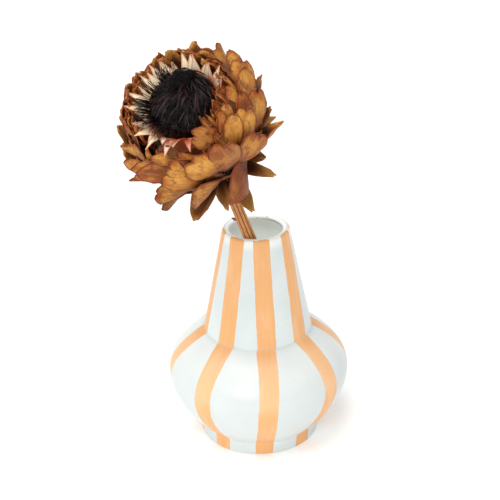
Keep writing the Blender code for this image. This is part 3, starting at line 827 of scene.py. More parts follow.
def front_bract(index):
    """A bract of the front, and what chance adds to it."""
    tip, azimuth, heading, span, width, reach, point, hook, twist, tone = FRONT_BRACTS[index]
    dried = random.Random(BRACT_SEED * 1000 + 800 + index)
    return {
        "tip": math.radians(tip),
        "span": math.radians(span),
        "reach": reach * MM,
        "width": width * MM,
        "lift": 0.5 * MM,
        "cup": 23 * MM * dried.uniform(0.8, 1.25),
        "notch": dried.choice((0, 0.02, 0.07)),
        "point": point,
        "rise": 1.3,
        "twist": twist,
        "azimuth": math.radians(azimuth),
        "heading": math.radians(heading),
        "lean": dried.uniform(-0.08, 0.08),
        "tone": tone,
        "shade": max(0, (tip - 95) / 20),
        "number": index + 200.5,
        "hook": (hook + 0.9) * MM,
        "roll": dried.uniform(-0.7, 1.2) * MM,
        "crumple": 1.7 * MM,
    }


def spiral_bract(index):
    """A bract of the spiral. Those of the front lie under the front ones, and those of the rim curl."""
    chance = random.Random(BRACT_SEED * 1000 + index)
    kind = main_bract
    if index < BASAL_COUNT:
        kind = basal_bract
    if index >= BASAL_COUNT + MAIN_COUNT:
        kind = rim_bract
    sizes = kind(index, chance)
    sizes["azimuth"] = index * GOLDEN_ANGLE + chance.uniform(-0.06, 0.06)
    sizes["heading"] = 0
    sizes["lean"] = chance.uniform(-0.1, 0.1)
    dried = random.Random(BRACT_SEED * 1000 + 500 + index)
    sizes["tone"] = dried.random()
    sizes["shade"] = max(0, (math.degrees(sizes["tip"]) - 98) / 50)
    sizes["number"] = index + 0.5
    sizes["hook"] = dried.uniform(0.6, 2.2) * MM
    sizes["roll"] = dried.uniform(-0.6, 1.0) * MM
    sizes["crumple"] = 1.3 * MM
    degrees = math.degrees(sizes["azimuth"]) % 360
    front = degrees > FRONT_FIRST_AZIMUTH or degrees < FRONT_LAST_AZIMUTH
    left = FRONT_FIRST_AZIMUTH < degrees < LEFT_LAST_AZIMUTH
    if index in HANGING_BRACTS:
        tip, azimuth, lift, width = HANGING_BRACTS[index]
        sizes.update(tip=math.radians(tip), azimuth=math.radians(azimuth), lift=lift * MM, width=width * MM)
        sizes["point"] = dried.uniform(0.5, 0.8)
        sizes["shade"] = 0.6
    elif kind is not rim_bract and (left or front and sizes["tip"] < math.radians(104)):
        sizes["reach"] -= SUNK * (2 if 255 < degrees < 320 else 1)
        sizes["lift"] = 0.5 * MM
        sizes["hook"] = 0
        sizes["shade"] = 0.85
    elif sizes["tip"] >= math.radians(104):
        sizes["point"] = dried.uniform(0.4, 0.9)
        sizes["width"] *= dried.uniform(0.75, 0.95)
    if kind is rim_bract:
        open_side = 0.5 - 0.5 * math.cos(sizes["azimuth"] - math.radians(320))
        sizes["tip"] += math.radians(16 - 4 * open_side)
        sizes["reach"] -= (9 - 4 * open_side) * MM
        sizes["shade"] = 0.6 * (1 - open_side)
        sizes["width"] *= 0.82
        sizes["cup"] *= dried.uniform(0.5, 1.1)
        sizes["hook"] = (dried.uniform(-2, 2) + 2.5 * open_side) * MM
        sizes["roll"] = dried.uniform(-1, 3) * MM
        sizes["crumple"] = 2.2 * MM
    return sizes


def fringe_bract(index):
    """A small crumpled bract, one of the many that crowd between the rim and the pale ring."""
    dried = random.Random(BRACT_SEED * 1000 + 900 + index)
    azimuth = FRINGE_START + (FRINGE_END - FRINGE_START) * (index + dried.uniform(-0.4, 0.4)) / FRINGE_COUNT
    near = max(0, math.cos(azimuth - math.radians(320)))
    return {
        "tip": math.radians(dried.uniform(39, 47) - 5 * near),
        "span": math.radians(40),
        "reach": (dried.uniform(47.5, 54) - 5 * near) * MM,
        "width": (dried.uniform(6, 11) - 2 * near) * MM,
        "lift": dried.uniform(-1, 1.5) * MM,
        "cup": dried.uniform(3, 7) * MM,
        "notch": dried.uniform(0, 0.12),
        "point": dried.choice((0.2, 0.6, 0.9)),
        "rise": 1.6,
        "twist": dried.uniform(-0.9, 0.9),
        "azimuth": azimuth,
        "heading": dried.uniform(-0.3, 0.3),
        "lean": dried.uniform(-0.15, 0.15),
        "tone": dried.uniform(0, 0.8),
        "shade": dried.choice((0, 0, 0.3)),
        "number": index + 300.5,
        "hook": dried.uniform(-2, 3.5) * MM,
        "roll": dried.uniform(-1, 2.5) * MM,
        "crumple": 2.4 * MM,
    }


def seated(sizes):
    """The bract with its root just inside the receptacle's skin."""
    tip, span = sizes["tip"], sizes["span"]
    height = math.cos(span) * math.cos(tip) - math.sin(span) * math.sin(tip) * math.cos(sizes["heading"])
    cup_reach = numpy.interp(math.degrees(math.acos(height)), [80, 96, 115, 141, 171], [33.5, 36.2, 37.1, 38.4, 39.6])
    return {**sizes, "root_reach": (float(cup_reach) - 2.5) * MM}


def sleeve(height, radii):
    """The sleeve's radius at a height, as a field that runs straight between its given radii."""
    total = radii[0]
    for low, high, start, end in zip(SLEEVE_HEIGHTS, SLEEVE_HEIGHTS[1:], radii, radii[1:]):
        total = (height - low).most(0).least(high - low) * ((end - start) / (high - low)) + total
    return total


def swayed(tree, x, y, z):
    """The place turned about the head's centre by an angle that grows towards the opening."""
    made = add_node(tree, "ShaderNodeVectorRotate", rotation_type="AXIS_ANGLE")
    feed(made.inputs["Vector"], joined(tree, x, y, z))
    made.inputs["Axis"].default_value = SWAY_AXIS
    feed(made.inputs["Angle"], ((z - SWAY_START) / (SWAY_END - SWAY_START)).most(0) ** 1.3 * SWAY_ANGLE)
    return Field(tree, made.outputs[0])


def blade_sheets(tree, points, size):
    """A flat blank on every point, made real, with fields for its place across (-1 to 1) and along (0 to 1)."""
    blank = add_node(tree, "GeometryNodeMeshGrid")
    blank.inputs["Size X"].default_value = 2
    feed(blank.inputs["Vertices X"], size["Columns"])
    feed(blank.inputs["Vertices Y"], size["Rows"])
    x, y, _ = split(tree)
    sheet = stored(tree, blank.outputs["Mesh"], "blank_across", x)
    sheet = stored(tree, sheet, "share", y + 0.5)
    placed = tree.nodes.new("GeometryNodeInstanceOnPoints")
    tree.links.new(points, placed.inputs["Points"])
    tree.links.new(sheet, placed.inputs["Instance"])
    sheets = step(tree, "GeometryNodeRealizeInstances", placed.outputs[0])
    return sheets, named(tree, "blank_across"), named(tree, "share")


def bract_tree(finish):
    """Bends a flat blank into each brown bract by the sizes that its point carries."""
    tree, points, size = new_tree("brown bract", {"Rows": 23, "Columns": 15, "Raggedness": 0.0})
    sheets, v, u = blade_sheets(tree, points, size)
    labels = ("tip", "span", "reach", "width", "lift", "cup", "notch", "point", "rise", "twist", "azimuth", "lean")
    labels += ("heading", "root_reach", "number", "hook", "roll", "crumple")
    b = {label: named(tree, label) for label in labels}
    torn = noise(tree, joined(tree, v * 1.5, b["number"] * 3.3, 0), 1, 2, 0.55) - 0.5
    end = 1 - abs(v) ** 2.2 * 0.17 - b["notch"] * (1 - abs(v) / 0.5).most(0) + torn * size["Raggedness"]
    t = u * end

    def centre(t):
        polar = b["tip"] + (1 - t) * b["span"]
        reach = b["reach"] - (b["reach"] - b["root_reach"]) * (1 - t).most(0) ** b["rise"]
        reach = reach + b["hook"] * t.most(0) ** 6
        out = b["lift"] * t.most(0) ** 3
        return reach * polar.sine() + out, reach * polar.cosine() - out * 0.35

    (x, z), (x_on, z_on), (x_back, z_back) = centre(t), centre(t + 0.01), centre(t - 0.01)
    run_x, run_z = x_on - x_back, z_on - z_back
    run = (run_x * run_x + run_z * run_z).reckon("SQRT")
    normal_x, normal_z = run_z / run, -run_x / run
    turn = b["twist"] * t * t
    swell = ((t / 0.66).least(1) * (math.pi / 2)).sine() * 0.7 + 0.3
    taper = 1 - (b["point"] * 0.8 + 0.1) * ((t - 0.55) / 0.45).most(0) ** 1.6
    frayed = noise(tree, joined(tree, u * 3, b["number"] * 7.1, v.reckon("SIGN")), 1, 2, 0.55) - 0.5
    half = b["width"] / 2 * swell * taper * (1 + frayed * size["Raggedness"] * 2)
    across = v * half
    bow = across * across / (b["cup"] * 2) - b["roll"] * abs(v) ** 5 * t
    ridge = noise(tree, joined(tree, u * 1.7, v * 2.4, b["number"] * 11.7), 1, 2) - 0.5
    pleat = noise(tree, joined(tree, u * 0.9, v * 7.5, b["number"] * 4.9), 1, 1) - 0.5
    bow = bow - (ridge * 1.6 + pleat * 0.45) * b["crumple"] * (0.25 + t)
    bend = b["lean"] * b["width"] * t * t
    sideways = across + bend
    local_x = x + normal_x * turn.sine() * sideways - normal_x * turn.cosine() * bow
    local_y = turn.cosine() * sideways + turn.sine() * bow
    local_z = z + normal_z * turn.sine() * sideways - normal_z * turn.cosine() * bow
    aside = add_node(tree, "ShaderNodeVectorRotate", rotation_type="AXIS_ANGLE")
    feed(aside.inputs["Vector"], joined(tree, local_x, local_y, local_z))
    feed(aside.inputs["Axis"], joined(tree, b["tip"].sine(), 0, b["tip"].cosine()))
    feed(aside.inputs["Angle"], b["heading"])
    local_x, local_y, local_z = split(tree, Field(tree, aside.outputs[0]))
    cos, sin = b["azimuth"].cosine(), b["azimuth"].sine()
    turned_x = local_x * cos - local_y * sin
    turned_y = local_x * sin + local_y * cos
    radius = (turned_x * turned_x + turned_y * turned_y).reckon("SQRT")
    least = sleeve(local_z, PALE_SLEEVE) + (BRACT_THICKNESS + SLEEVE_GAP)
    grow = (least / radius).most(1)
    spot = swayed(tree, turned_x * grow, turned_y * grow, local_z)
    shaped = step(tree, "GeometryNodeSetPosition", sheets, Position=spot)
    length = b["span"] * b["reach"]
    edge = ((1 - abs(v)) * half).least((1 - u) * length * 0.9)
    for label, value in (("along", t * length / MM), ("across", across / MM), ("edge", edge / MM)):
        shaped = stored(tree, shaped, label, value)
    close_tree(tree, shaped, finish)
    return tree


def bract_fields(tree):
    along, across = seen(tree, "along"), seen(tree, "across")
    number, tone = seen(tree, "number"), seen(tree, "tone")
    threads, blotches, specks = fibred(tree, along, across, number, 1.7)
    return seen(tree, "share"), seen(tree, "edge"), tone, seen(tree, "shade"), threads, blotches, specks


def bract_back():
    """The golden outer face, with a rust margin and purple-brown blotches; a painted highlight in its middle, and
    painted shade that turns it red-brown towards the root and darkens the low and sunk bracts.
    """
    finish, tree, shader = new_finish("bract_outside", 0.4)
    shader.inputs["Specular IOR Level"].default_value = 0.3
    share, edge, tone, shade, threads, blotches, specks = bract_fields(tree)
    cloud = noise(tree, object_place(tree), 70, 3, 0.6)
    gold = blended(tree, tone, colour(246, 178, 68), colour(166, 86, 42))
    dull = blended(tree, tone, colour(186, 104, 30), colour(112, 48, 22))
    hue = blended(tree, threads.stepped(0.3, 0.62), dull, gold)
    hue = blended(tree, cloud.stepped(0.42, 0.7) * 0.7, hue, dull)
    # painted highlight: a paler gold on the middle of each face, towards the tip
    middle = edge.stepped(0.4, 3) * share.stepped(0.55, 0.85) * (1 - cloud.stepped(0.42, 0.62)) * (1.15 - tone).least(1)
    hue = blended(tree, middle * 0.4, hue, colour(244, 192, 96))
    # painted shade: the face darkens to russet and then to deep red-brown towards the root, where the bracts above
    # cover it
    under = share + (blotches - 0.5) * 0.3 + (cloud - 0.5) * 0.25
    hue = blended(tree, (1 - under.stepped(0.44, 0.8)) * 0.75, hue, colour(134, 62, 24))
    red = blended(tree, threads, colour(64, 24, 13), colour(104, 44, 21))
    hue = blended(tree, (1 - under.stepped(0.32, 0.58)) * 0.95, hue, red)
    stain = blotches.stepped(0.55, 0.62) * (0.3 + 0.5 * tone)
    hue = blended(tree, stain, hue, colour(114, 50, 36))
    blush = (1 - edge.stepped(0.3, 3.6)) * (0.35 + 0.65 * cloud.stepped(0.38, 0.6)) * share.stepped(0.4, 0.8)
    hue = blended(tree, blush * 0.75, hue, colour(164, 66, 26))
    ragged = edge + (threads - 0.5) * 0.9 + (cloud - 0.5) * 1.4
    hue = blended(tree, (1 - ragged.stepped(0.1, 1.3)) * (0.6 + 0.4 * cloud.stepped(0.35, 0.6)), hue, colour(70, 22, 8))
    hue = blended(tree, specks.stepped(0.68, 0.74) * 0.6, hue, colour(88, 40, 26))
    # painted shade: low, sunk and far-side bracts are darkened all over
    hue = blended(tree, shade * 0.85, hue, colour(58, 25, 13))
    feed(shader.inputs["Base Color"], hue)
    feed(shader.inputs["Roughness"], 0.26 + threads * 0.25 + specks * 0.08)
    raised(tree, shader, threads * 0.6 + blotches * 0.9 + cloud * 1.1 + specks * 0.15, 1.6 * MM)
    return finish


def bract_front():
    """The inner face: smooth and a little glossy, golden at the margin and dark towards the root, with painted shade on
    the low and sunk bracts.
    """
    finish, tree, shader = new_finish("bract_inside", 0.42)
    shader.inputs["Specular IOR Level"].default_value = 0.3
    share, edge, tone, shade, threads, blotches, specks = bract_fields(tree)
    dark = blended(tree, threads, colour(92, 40, 18), colour(150, 82, 36))
    light = blended(tree, threads, colour(206, 126, 50), colour(250, 192, 110))
    rim = (1 - (edge + (blotches - 0.5) * 3).stepped(0.6, 5)) * 0.9
    hue = blended(tree, (rim + share.stepped(0.52, 0.88) * 0.9 * (1.1 - tone).least(1)).least(1), dark, light)
    hue = blended(tree, (1 - share.stepped(0.46, 0.88)) * 0.9, hue, colour(48, 19, 11))
    hue = blended(tree, blotches.stepped(0.54, 0.66) * 0.45, hue, colour(92, 42, 28))
    hue = blended(tree, share.stepped(0.78, 1) * (1 - tone) * 0.6, hue, colour(250, 190, 96))
    hue = blended(tree, specks.stepped(0.68, 0.74) * 0.5, hue, colour(70, 34, 24))
    # painted shade: low, sunk and far-side bracts are darker on the inside too
    hue = blended(tree, shade * 0.85, hue, colour(70, 30, 18))
    feed(shader.inputs["Base Color"], hue)
    feed(shader.inputs["Roughness"], 0.36 + threads * 0.2)
    raised(tree, shader, threads * 0.6 + blotches * 0.6, 0.6 * MM)
    return finish


def bract_edge():
    """The thin broken edge, rust-coloured."""
    finish, tree, shader = new_finish("bract_margin", 0.6)
    crumbs = noise(tree, object_place(tree), 600, 2)
    feed(shader.inputs["Base Color"], blended(tree, crumbs, colour(116, 48, 20), colour(188, 104, 40)))
    raised(tree, shader, crumbs, 0.3 * MM)
    return finish


def point_sizes(sizes):
    """Lists of dictionaries turned into one list of numbers for each name."""
    return {label: [float(each[label]) for each in sizes] for label in sizes[0]}


def thickened(obj, finishes, thickness):
    """Gives the sheets their thickness behind their outer face, and turns and moves them onto the stem."""
    obj.data.materials.clear()
    for finish in finishes:
        obj.data.materials.append(finish)
    solid = obj.modifiers.new("thickness", "SOLIDIFY")
    solid.thickness = thickness
    solid.offset = -1
    solid.material_offset = 1
    solid.material_offset_rim = 2
    obj.data = finished_mesh(obj)
    obj.modifiers.clear()
    obj.data.transform(HEAD)
    return obj


bract_finishes = [bract_back(), bract_front(), bract_edge()]
bract_shape = bract_tree(bract_finishes[0])


def bract_piece(name, bracts, columns, rows, raggedness):
    sizes = [seated(bract) for bract in bracts]
    obj = carrier(name, [(0, 0, 0)] * len(sizes), (), point_sizes(sizes))
    grown(obj, bract_shape, {"Rows": rows, "Columns": columns, "Raggedness": raggedness})
    thickened(obj, bract_finishes, BRACT_THICKNESS)
    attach(obj, "root")
    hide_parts("bracts")


first_rim = BASAL_COUNT + MAIN_COUNT
bract_piece("outer_bracts", [spiral_bract(k) for k in range(first_rim)], 13, 21, 0.1)
bract_piece("front_bracts", [front_bract(k) for k in range(len(FRONT_BRACTS))], 21, 31, 0.1)
bract_piece("curled_bracts", [spiral_bract(first_rim + k) for k in range(RIM_COUNT)], 15, 25, 0.16)
bract_piece("fringe_bracts", [fringe_bract(k) for k in range(FRINGE_COUNT)], 11, 19, 0.14)


# Pale inner bracts. The innermost scales, thin and dry as straw, cream above and flushed pink at the
# root. They stand in two alternating rows round the florets and flare out over the brown ones.
PALE_COUNT = 38
PALE_THICKNESS = 0.45 * MM
PALE_SEED = 5
COLLAR_RADIUS = 24.9 * MM
NEAR_SIDE = math.radians(300)
LAID_SIDE = math.radians(244)


def pale_sizes(index):
    chance = random.Random(PALE_SEED * 1000 + index)
    inner = index % 2
    azimuth = math.tau * index / PALE_COUNT + chance.uniform(-0.07, 0.07)
    near = 0.5 + 0.5 * math.cos(azimuth - NEAR_SIDE)
    laid = max(0, math.cos(1.7 * max(-0.9, min(0.9, (azimuth - LAID_SIDE + math.pi) % math.tau - math.pi))))
    hidden = max(0, math.cos(1.7 * max(-0.9, min(0.9, azimuth - math.radians(308)))))
    return {
        "azimuth": azimuth,
        "top": (39 - 2.5 * inner - 3 * near**2 - 4 * laid - 4 * hidden) * MM * chance.uniform(0.9, 1.06),
        "width": (12.5 - 2.5 * near**2) * MM * chance.uniform(0.75, 1.15),
        "flare": (12 - 4 * inner + 1.5 * near**2 + 5 * laid) * MM * chance.uniform(0.75, 1.1),
        "cup": 9 * MM,
        "arch": 9 * laid * MM,
        "blush": near**1.5,
        "tone": chance.random(),
        "number": index + 0.5,
        "twist": chance.uniform(-0.4, 0.4),
        "hook": chance.uniform(-2.5, 3) * MM,
        "lean": chance.uniform(-2.4, 2.4) * MM,
    }


def pale_tree(finish):
    """Bends a flat blank into each pale bract: up along the florets, then flaring out to a point."""
    tree, points, size = new_tree("pale bract", {"Rows": 17, "Columns": 9})
    sheets, v, u = blade_sheets(tree, points, size)
    labels = ("azimuth", "top", "width", "flare", "cup", "number", "twist", "hook", "lean", "arch")
    b = {label: named(tree, label) for label in labels}
    low = 4 * MM

    def centre(u):
        radius = b["flare"] * u.most(0) ** 2.2 + b["hook"] * u.most(0) ** 5 + (COLLAR_RADIUS - 0.6 * MM)
        return radius, (b["top"] - low) * u + low + b["arch"] * u * (1 - u) * 4

    (x, z), (x_on, z_on), (x_back, z_back) = centre(u), centre(u + 0.01), centre(u - 0.01)
    run_x, run_z = x_on - x_back, z_on - z_back
    run = (run_x * run_x + run_z * run_z).reckon("SQRT")
    normal_x, normal_z = run_z / run, -run_x / run
    swell = ((u / 0.9).least(1) * math.pi).sine() * 0.2 + 0.8
    half = b["width"] / 2 * swell * (1 - u**3.4) + 0.12 * MM
    across = v * half
    fold = across * across / (b["cup"] * 2)
    wave = noise(tree, joined(tree, u * 3, v * 1.5, b["number"] * 5.3), 1, 2) - 0.5
    fold = fold - wave * 1.2 * MM * u
    turn = b["twist"] * u * u
    local_x = x + normal_x * (turn.sine() * across - turn.cosine() * fold)
    local_y = turn.cosine() * across + turn.sine() * fold + b["lean"] * u * u
    local_z = z + normal_z * (turn.sine() * across - turn.cosine() * fold)
    cos, sin = b["azimuth"].cosine(), b["azimuth"].sine()
    turned_x = local_x * cos - local_y * sin
    turned_y = local_x * sin + local_y * cos
    radius = (turned_x * turned_x + turned_y * turned_y).reckon("SQRT")
    least = sleeve(local_z, FLORET_SLEEVE) + (PALE_THICKNESS + SLEEVE_GAP)
    grow = (least / radius).most(1)
    spot = swayed(tree, turned_x * grow, turned_y * grow, local_z)
    shaped = step(tree, "GeometryNodeSetPosition", sheets, Position=spot)
    edge = (1 - abs(v)) * half
    length = b["top"] - low
    for label, value in (("along", u * length / MM), ("across", across / MM), ("edge", edge / MM)):
        shaped = stored(tree, shaped, label, value)
    close_tree(tree, shaped, finish)
    return tree


def straw():
    """Glossy cream with fine brown streaks, golden low down, and pinker on the side that the sun dried last, with a
    faint painted glow in its own colour.
    """
    finish, tree, shader = new_finish("pale_straw", 0.3)
    share, tone, number, blush = [seen(tree, label) for label in ("share", "tone", "number", "blush")]
    threads, blotches, specks = fibred(tree, seen(tree, "along"), seen(tree, "across"), number, 2.4)
    cream = blended(tree, threads.stepped(0.3, 0.6), colour(240, 194, 130), colour(255, 246, 220))
    gold = blended(tree, threads, colour(170, 90, 48), colour(222, 152, 88))
    hue = blended(tree, (share + (threads - 0.5) * 0.3 - blush * 0.2 - tone * 0.15).stepped(0.3, 0.62), gold, cream)
    pink = (1 - (share + (blotches - 0.5) * 0.5 - blush * 0.45).stepped(0.3, 0.72)) * (0.3 + 0.55 * tone)
    hue = blended(tree, pink, hue, colour(186, 82, 62))
    tipped = share.stepped(0.84, 0.99) * (0.25 + 0.4 * tone)
    hue = blended(tree, tipped, hue, colour(206, 128, 92))
    side = (1 - (seen(tree, "edge") + (threads - 0.5) * 0.5).stepped(0.1, 1.4)) * 0.6
    hue = blended(tree, side, hue, blended(tree, tone, colour(196, 112, 60), colour(176, 86, 62)))
    hue = blended(tree, specks.stepped(0.7, 0.76) * 0.35, hue, colour(150, 84, 56))
    feed(shader.inputs["Base Color"], hue)
    # painted glow: the pale bracts give off a faint light in their own colour, in place of light shining through them
    feed(shader.inputs["Emission Color"], hue)
    shader.inputs["Emission Strength"].default_value = 0.18
    feed(shader.inputs["Roughness"], 0.26 + threads * 0.2)
    raised(tree, shader, threads * 0.9 + blotches * 0.5, 0.5 * MM)
    return finish


straw_finish = straw()
pale = [pale_sizes(index) for index in range(PALE_COUNT)]
pale_bracts = carrier("pale_bracts", [(0, 0, 0)] * PALE_COUNT, (), point_sizes(pale))
grown(pale_bracts, pale_tree(straw_finish), {"Rows": 19, "Columns": 11})
thickened(pale_bracts, [straw_finish, straw_finish, straw_finish], PALE_THICKNESS)
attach(pale_bracts, "root")
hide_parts("inner_bracts")


# Florets. Thousands of thread-like purple florets, dried almost black and packed in one tuft on the
# receptacle. They lean in tufts and swirl round a hollow, and stray ones hang over the pale bracts.
TUFT_CORE_RADIUS = 21 * MM
TUFT_SHOULDER = 28 * MM
TUFT_CORE_TOP = 37 * MM
THREADS_IN_LOCK = 8
LOCK_COUNT = 520
STUBBLE_COUNT = 1500
THREAD_RADIUS = 0.28 * MM
THREAD_LENGTH = 17 * MM
TUFT_SPREAD = 22.5 * MM
TUFT_LIMIT = 24.4 * MM
TUFT_EDGE = 32 * MM
TUFT_CROWN = 42.5 * MM
TUFT_HOLLOW = numpy.array((9, 8)) * MM
TUFT_HOLLOW_RADIUS = 7 * MM
TUFT_LOW_SIDE = numpy.array((-0.94, 0.34))
TUFT_SLOPE = 7 * MM
TUFT_SEED = 3


def thread_tree(finish):
    """Bends a thin closed cone along each point's root, bend and tip."""
    tree, points, size = new_tree("floret thread", {"Sides": 3, "Segments": 5, "Radius": 0.0})
    blank = tree.nodes.new("GeometryNodeMeshCone")
    feed(blank.inputs["Vertices"], size["Sides"])
    feed(blank.inputs["Side Segments"], size["Segments"])
    blank.inputs["Radius Top"].default_value = 0.3
    blank.inputs["Radius Bottom"].default_value = 1
    blank.inputs["Depth"].default_value = 1
    x, y, z = split(tree)
    sheet = blank.outputs["Mesh"]
    for label, value in (("blank_x", x), ("blank_y", y), ("share", z)):
        sheet = stored(tree, sheet, label, value)
    placed = tree.nodes.new("GeometryNodeInstanceOnPoints")
    tree.links.new(points, placed.inputs["Points"])
    tree.links.new(sheet, placed.inputs["Instance"])
    threads = step(tree, "GeometryNodeRealizeInstances", placed.outputs[0])
    t = named(tree, "share")
    root, bend, tip, side, face = [
        split(tree, named(tree, label, "FLOAT_VECTOR")) for label in ("root", "bend", "tip", "side", "face")
    ]
    first, second, third = (1 - t) * (1 - t), (1 - t) * t * 2, t * t
    place = []
    for k in range(3):
        middle = root[k] * first + bend[k] * second + tip[k] * third
        round_it = side[k] * named(tree, "blank_x") + face[k] * named(tree, "blank_y")
        place.append(middle + round_it * size["Radius"])
    shaped = step(tree, "GeometryNodeSetPosition", threads, Position=joined(tree, *place))
    close_tree(tree, shaped, finish)
    return tree


def near_black():
    finish, tree, shader = new_finish("dark_floret", 0.4)
    shader.inputs["Specular IOR Level"].default_value = 0.3
    share, tone = seen(tree, "share"), seen(tree, "tone")
    # random tone, painted as highlights: some threads are grey-mauve instead of near black, as if catching the light
    hue = blended(tree, tone.stepped(0.66, 0.95), colour(10, 4, 6), colour(132, 112, 120))
    hue = blended(tree, (1 - share.stepped(0.3, 0.8)) * 0.9, hue, colour(14, 5, 6))
    hue = blended(tree, tone.stepped(0.9, 0.96) * 0.75, hue, colour(104, 44, 34))
    grain = noise(tree, object_place(tree), 1500, 2)
    feed(shader.inputs["Base Color"], blended(tree, grain * 0.5, hue, colour(14, 7, 10)))
    feed(shader.inputs["Roughness"], 0.24 + grain * 0.25)
    raised(tree, shader, grain, 0.1 * MM)
    return finish


def on_dome(place, height, limit=TUFT_LIMIT):
    """The point at a height over the tuft's dome, kept inside the ring of pale bracts."""
    radius = math.hypot(*place)
    low = max(0, float(numpy.dot(place, TUFT_LOW_SIDE)) / max(radius, 1e-9))
    limit = limit * (1 - 0.14 * low)
    shrink = min(1, limit / max(radius, 1e-9))
    dome = math.sqrt(max(0, 1 - (min(radius, TUFT_LIMIT) / TUFT_LIMIT) ** 2))
    over = max(0, radius - limit)
    height = height - over - TUFT_SLOPE * low * min(radius, limit) / TUFT_LIMIT
    return numpy.array((place[0] * shrink, place[1] * shrink, TUFT_EDGE + (TUFT_CROWN - TUFT_EDGE) * dome + height))


def unit(vector):
    return vector / numpy.linalg.norm(vector)


def scatter(chance, spread):
    return numpy.array((chance.gauss(0, spread), chance.gauss(0, spread))) * MM


def combed_locks():
    """Root, bend, tip and tone of every thread: locks that swirl outwards from the hollow, drawn together at
    their tips, some standing proud and some lying deep."""
    chance = random.Random(TUFT_SEED * 1000)
    places = []
    for lock in range(LOCK_COUNT):
        reach = TUFT_SPREAD * math.sqrt((lock + 0.5) / LOCK_COUNT)
        turn = lock * GOLDEN_ANGLE
        foot = numpy.array((reach * math.cos(turn), reach * math.sin(turn)))
        away = foot - TUFT_HOLLOW
        gap = float(numpy.linalg.norm(away))
        if gap < TUFT_HOLLOW_RADIUS:
            continue
        away = away / gap
        aside = numpy.array((away[1], -away[0]))
        run = unit(away + aside * chance.gauss(1.25, 0.4)) * THREAD_LENGTH * chance.uniform(0.6, 1.25)
        curl = numpy.array((run[1], -run[0])) * chance.gauss(0.0, 0.22)
        rise = chance.uniform(0.2, 4.2) * MM
        limit = TUFT_LIMIT + chance.uniform(0, 2.5) * MM
        tone = chance.random()
        for _ in range(THREADS_IN_LOCK):
            spread = scatter(chance, 0.6)
            start = foot + spread
            end = foot + run + spread * chance.uniform(0.15, 0.5)
            height = rise + chance.gauss(0, 0.35) * MM
            root = on_dome(start, -2.5 * MM)
            bend = on_dome(start + (end - start) * 0.4 + curl, height * 1.8)
            tip = on_dome(end, height * 0.6, limit)
            places.append((root, bend, tip, min(1, max(0, tone * 0.6 + 0.2 + chance.gauss(0, 0.22)))))
    return places


def stubble():
    """Short upright threads that fill the hollow and the gaps between the locks."""
    chance = random.Random(TUFT_SEED * 1000 + 2)
    places = []
    for thread in range(STUBBLE_COUNT):
        inside = thread < STUBBLE_COUNT * 0.6
        middle, radius = (TUFT_HOLLOW, TUFT_HOLLOW_RADIUS * 1.2) if inside else (numpy.zeros(2), TUFT_SPREAD)
        reach, turn = radius * math.sqrt(chance.random()), chance.uniform(0, math.tau)
        foot = middle + numpy.array((math.cos(turn), math.sin(turn))) * reach
        height = chance.uniform(0.5, 2.5) * MM
        lean = scatter(chance, 1.5)
        places.append((on_dome(foot, -4 * MM), on_dome(foot, height * 0.6), on_dome(foot + lean, height), chance.uniform(0, 0.5)))
    return places


def stray_locks():
    """Longer threads that arch out over the pale bracts on the left of the tuft."""
    chance = random.Random(TUFT_SEED * 1000 + 1)
    places = []
    for lock in range(46):
        turn = math.radians(chance.uniform(80, 262))
        away = numpy.array((math.cos(turn), math.sin(turn), 0))
        round_it = numpy.array((away[1], -away[0], 0)) * chance.uniform(-0.3, 0.7)
        reach = chance.uniform(4, 15) * MM
        rise = numpy.array((0, 0, chance.uniform(1, 6))) * MM
        for _ in range(chance.randint(3, 8)):
            stray = numpy.array([chance.gauss(0, 1) for _ in range(3)])
            foot = away * 20.5 * MM + numpy.array((0, 0, 32 * MM)) + stray * 1.2 * MM
            tip = foot + (away + round_it) * reach + rise + stray * 0.6 * MM
            bend = foot + away * reach * 0.55 + rise * 0.5 + numpy.array((0, 0, 7 * MM)) + stray * 0.5 * MM
            places.append((foot, bend, tip, chance.uniform(0, 0.6)))
    return places


def threads_piece(name, places):
    """Threads on their places, swayed with the opening like the bracts round them."""
    vectors = {label: [] for label in ("root", "bend", "tip", "side", "face")}
    for spots in places:
        for label, spot in zip(("root", "bend", "tip"), spots):
            share = max(0, (spot[2] - SWAY_START) / (SWAY_END - SWAY_START))
            vectors[label].append(Matrix.Rotation(SWAY_ANGLE * share**1.3, 3, SWAY_AXIS) @ Vector(spot))
        along = (vectors["tip"][-1] - vectors["root"][-1]).normalized()
        side = along.orthogonal().normalized()
        vectors["side"].append(side)
        vectors["face"].append(along.cross(side))
    tones = [tone for *_, tone in places]
    obj = carrier(name, [(0, 0, 0)] * len(places), (), {"tone": tones}, vectors)
    grown(obj, thread_shape, {"Sides": 3, "Segments": 5, "Radius": THREAD_RADIUS})
    obj.data.transform(HEAD)
    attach(obj, "root")
    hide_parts("florets")
    return obj


floret_finish = near_black()
thread_shape = thread_tree(floret_finish)
threads_piece("floret_threads", combed_locks() + stubble())
threads_piece("stray_threads", stray_locks())

tuft_outline = [(0, TUFT_CORE_TOP)]
for degrees in (20, 42, 64, 84):
    lean = math.radians(degrees)
    height = TUFT_SHOULDER + (TUFT_CORE_TOP - TUFT_SHOULDER) * math.cos(lean)
    tuft_outline.append((TUFT_CORE_RADIUS * math.sin(lean), height))
tuft_outline += [(TUFT_CORE_RADIUS - 1 * MM, 8 * MM), (TUFT_CORE_RADIUS - 3 * MM, HOLLOW_FLOOR + SEAT_GAP)]
tuft_outline.append((0, HOLLOW_FLOOR + SEAT_GAP))
core = carrier("floret_bed", [(r, 0, z) for r, z in tuft_outline], [(k, k + 1) for k in range(len(tuft_outline) - 1)])
grown(core, turning_tree(floret_finish), {"Steps": 48, "Outline Points": len(tuft_outline), "Unevenness": 1 * MM})
facing_out(core)
core.data.transform(HEAD)
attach(core, "root")
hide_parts("florets")


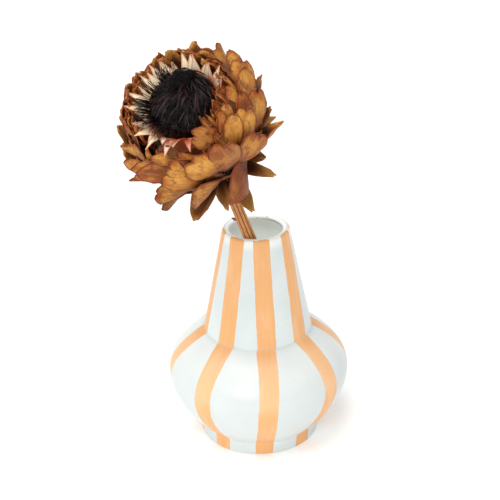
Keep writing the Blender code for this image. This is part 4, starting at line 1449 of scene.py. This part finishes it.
# Studio. A white table and a white room with a large soft light in front, above and to the left, and
# the camera above and in front of the vase, looking down at it.
CAMERA_PLACE = (-0.004917, -0.9804, 0.6381)
CAMERA_PITCH = 0.454
CAMERA_ROLL = -0.023
FOCAL_LENGTH = 100.3
SENSOR = 36


def studio_floor():
    mesh = bpy.data.meshes.new("table_top")
    mesh.from_pydata([(-12, -12, 0), (12, -12, 0), (12, 12, 0), (-12, 12, 0)], [], [(0, 1, 2, 3)])
    finish, tree, shader = new_finish("white_table", 0.9)
    shader.inputs["Base Color"].default_value = (0.81, 0.81, 0.8, 1)
    shader.inputs["Emission Color"].default_value = (1, 1, 1, 1)
    shader.inputs["Emission Strength"].default_value = 0.27
    shader.inputs["Specular IOR Level"].default_value = 0.1
    mesh.materials.append(finish)
    obj = bpy.data.objects.new("table_top", mesh)
    bpy.context.scene.collection.objects.link(obj)


def soft_light(name, toward, strength, spread, tint):
    """A broad light with no edge, shining along a direction."""
    light = bpy.data.lights.new(name, "SUN")
    light.energy = strength
    light.angle = spread
    light.color = tint
    obj = bpy.data.objects.new(name, light)
    obj.rotation_euler = Vector(toward).to_track_quat("-Z", "Y").to_euler()
    bpy.context.scene.collection.objects.link(obj)


def studio_camera():
    pitch_cos, pitch_sin = math.cos(CAMERA_PITCH), math.sin(CAMERA_PITCH)
    roll_cos, roll_sin = math.cos(CAMERA_ROLL), math.sin(CAMERA_ROLL)
    upright = Vector((0, pitch_sin, pitch_cos))
    right = Vector((1, 0, 0)) * roll_cos + upright * roll_sin
    up = upright * roll_cos - Vector((1, 0, 0)) * roll_sin
    back = Vector((0, -pitch_cos, pitch_sin))
    camera = bpy.data.cameras.new("camera")
    camera.sensor_width = SENSOR
    camera.lens = FOCAL_LENGTH
    obj = bpy.data.objects.new("camera", camera)
    columns = Matrix((right, up, back)).transposed().to_4x4()
    obj.matrix_world = Matrix.Translation(CAMERA_PLACE) @ columns
    bpy.context.scene.collection.objects.link(obj)
    bpy.context.scene.camera = obj


studio_floor()
soft_light("top_light", (0.2, 0.24, -1), 1.7, 0.6, (1, 0.98, 0.95))
soft_light("front_light", (0.4, 1, -0.6), 1.08, 0.4, (1, 0.99, 0.97))
studio_camera()
world = bpy.data.worlds.new("white_room")
world.use_nodes = True
world.node_tree.nodes["Background"].inputs["Color"].default_value = (1, 1, 1, 1)
world.node_tree.nodes["Background"].inputs["Strength"].default_value = 0.58
bpy.context.scene.world = world
bpy.context.scene.view_settings.view_transform = "Standard"
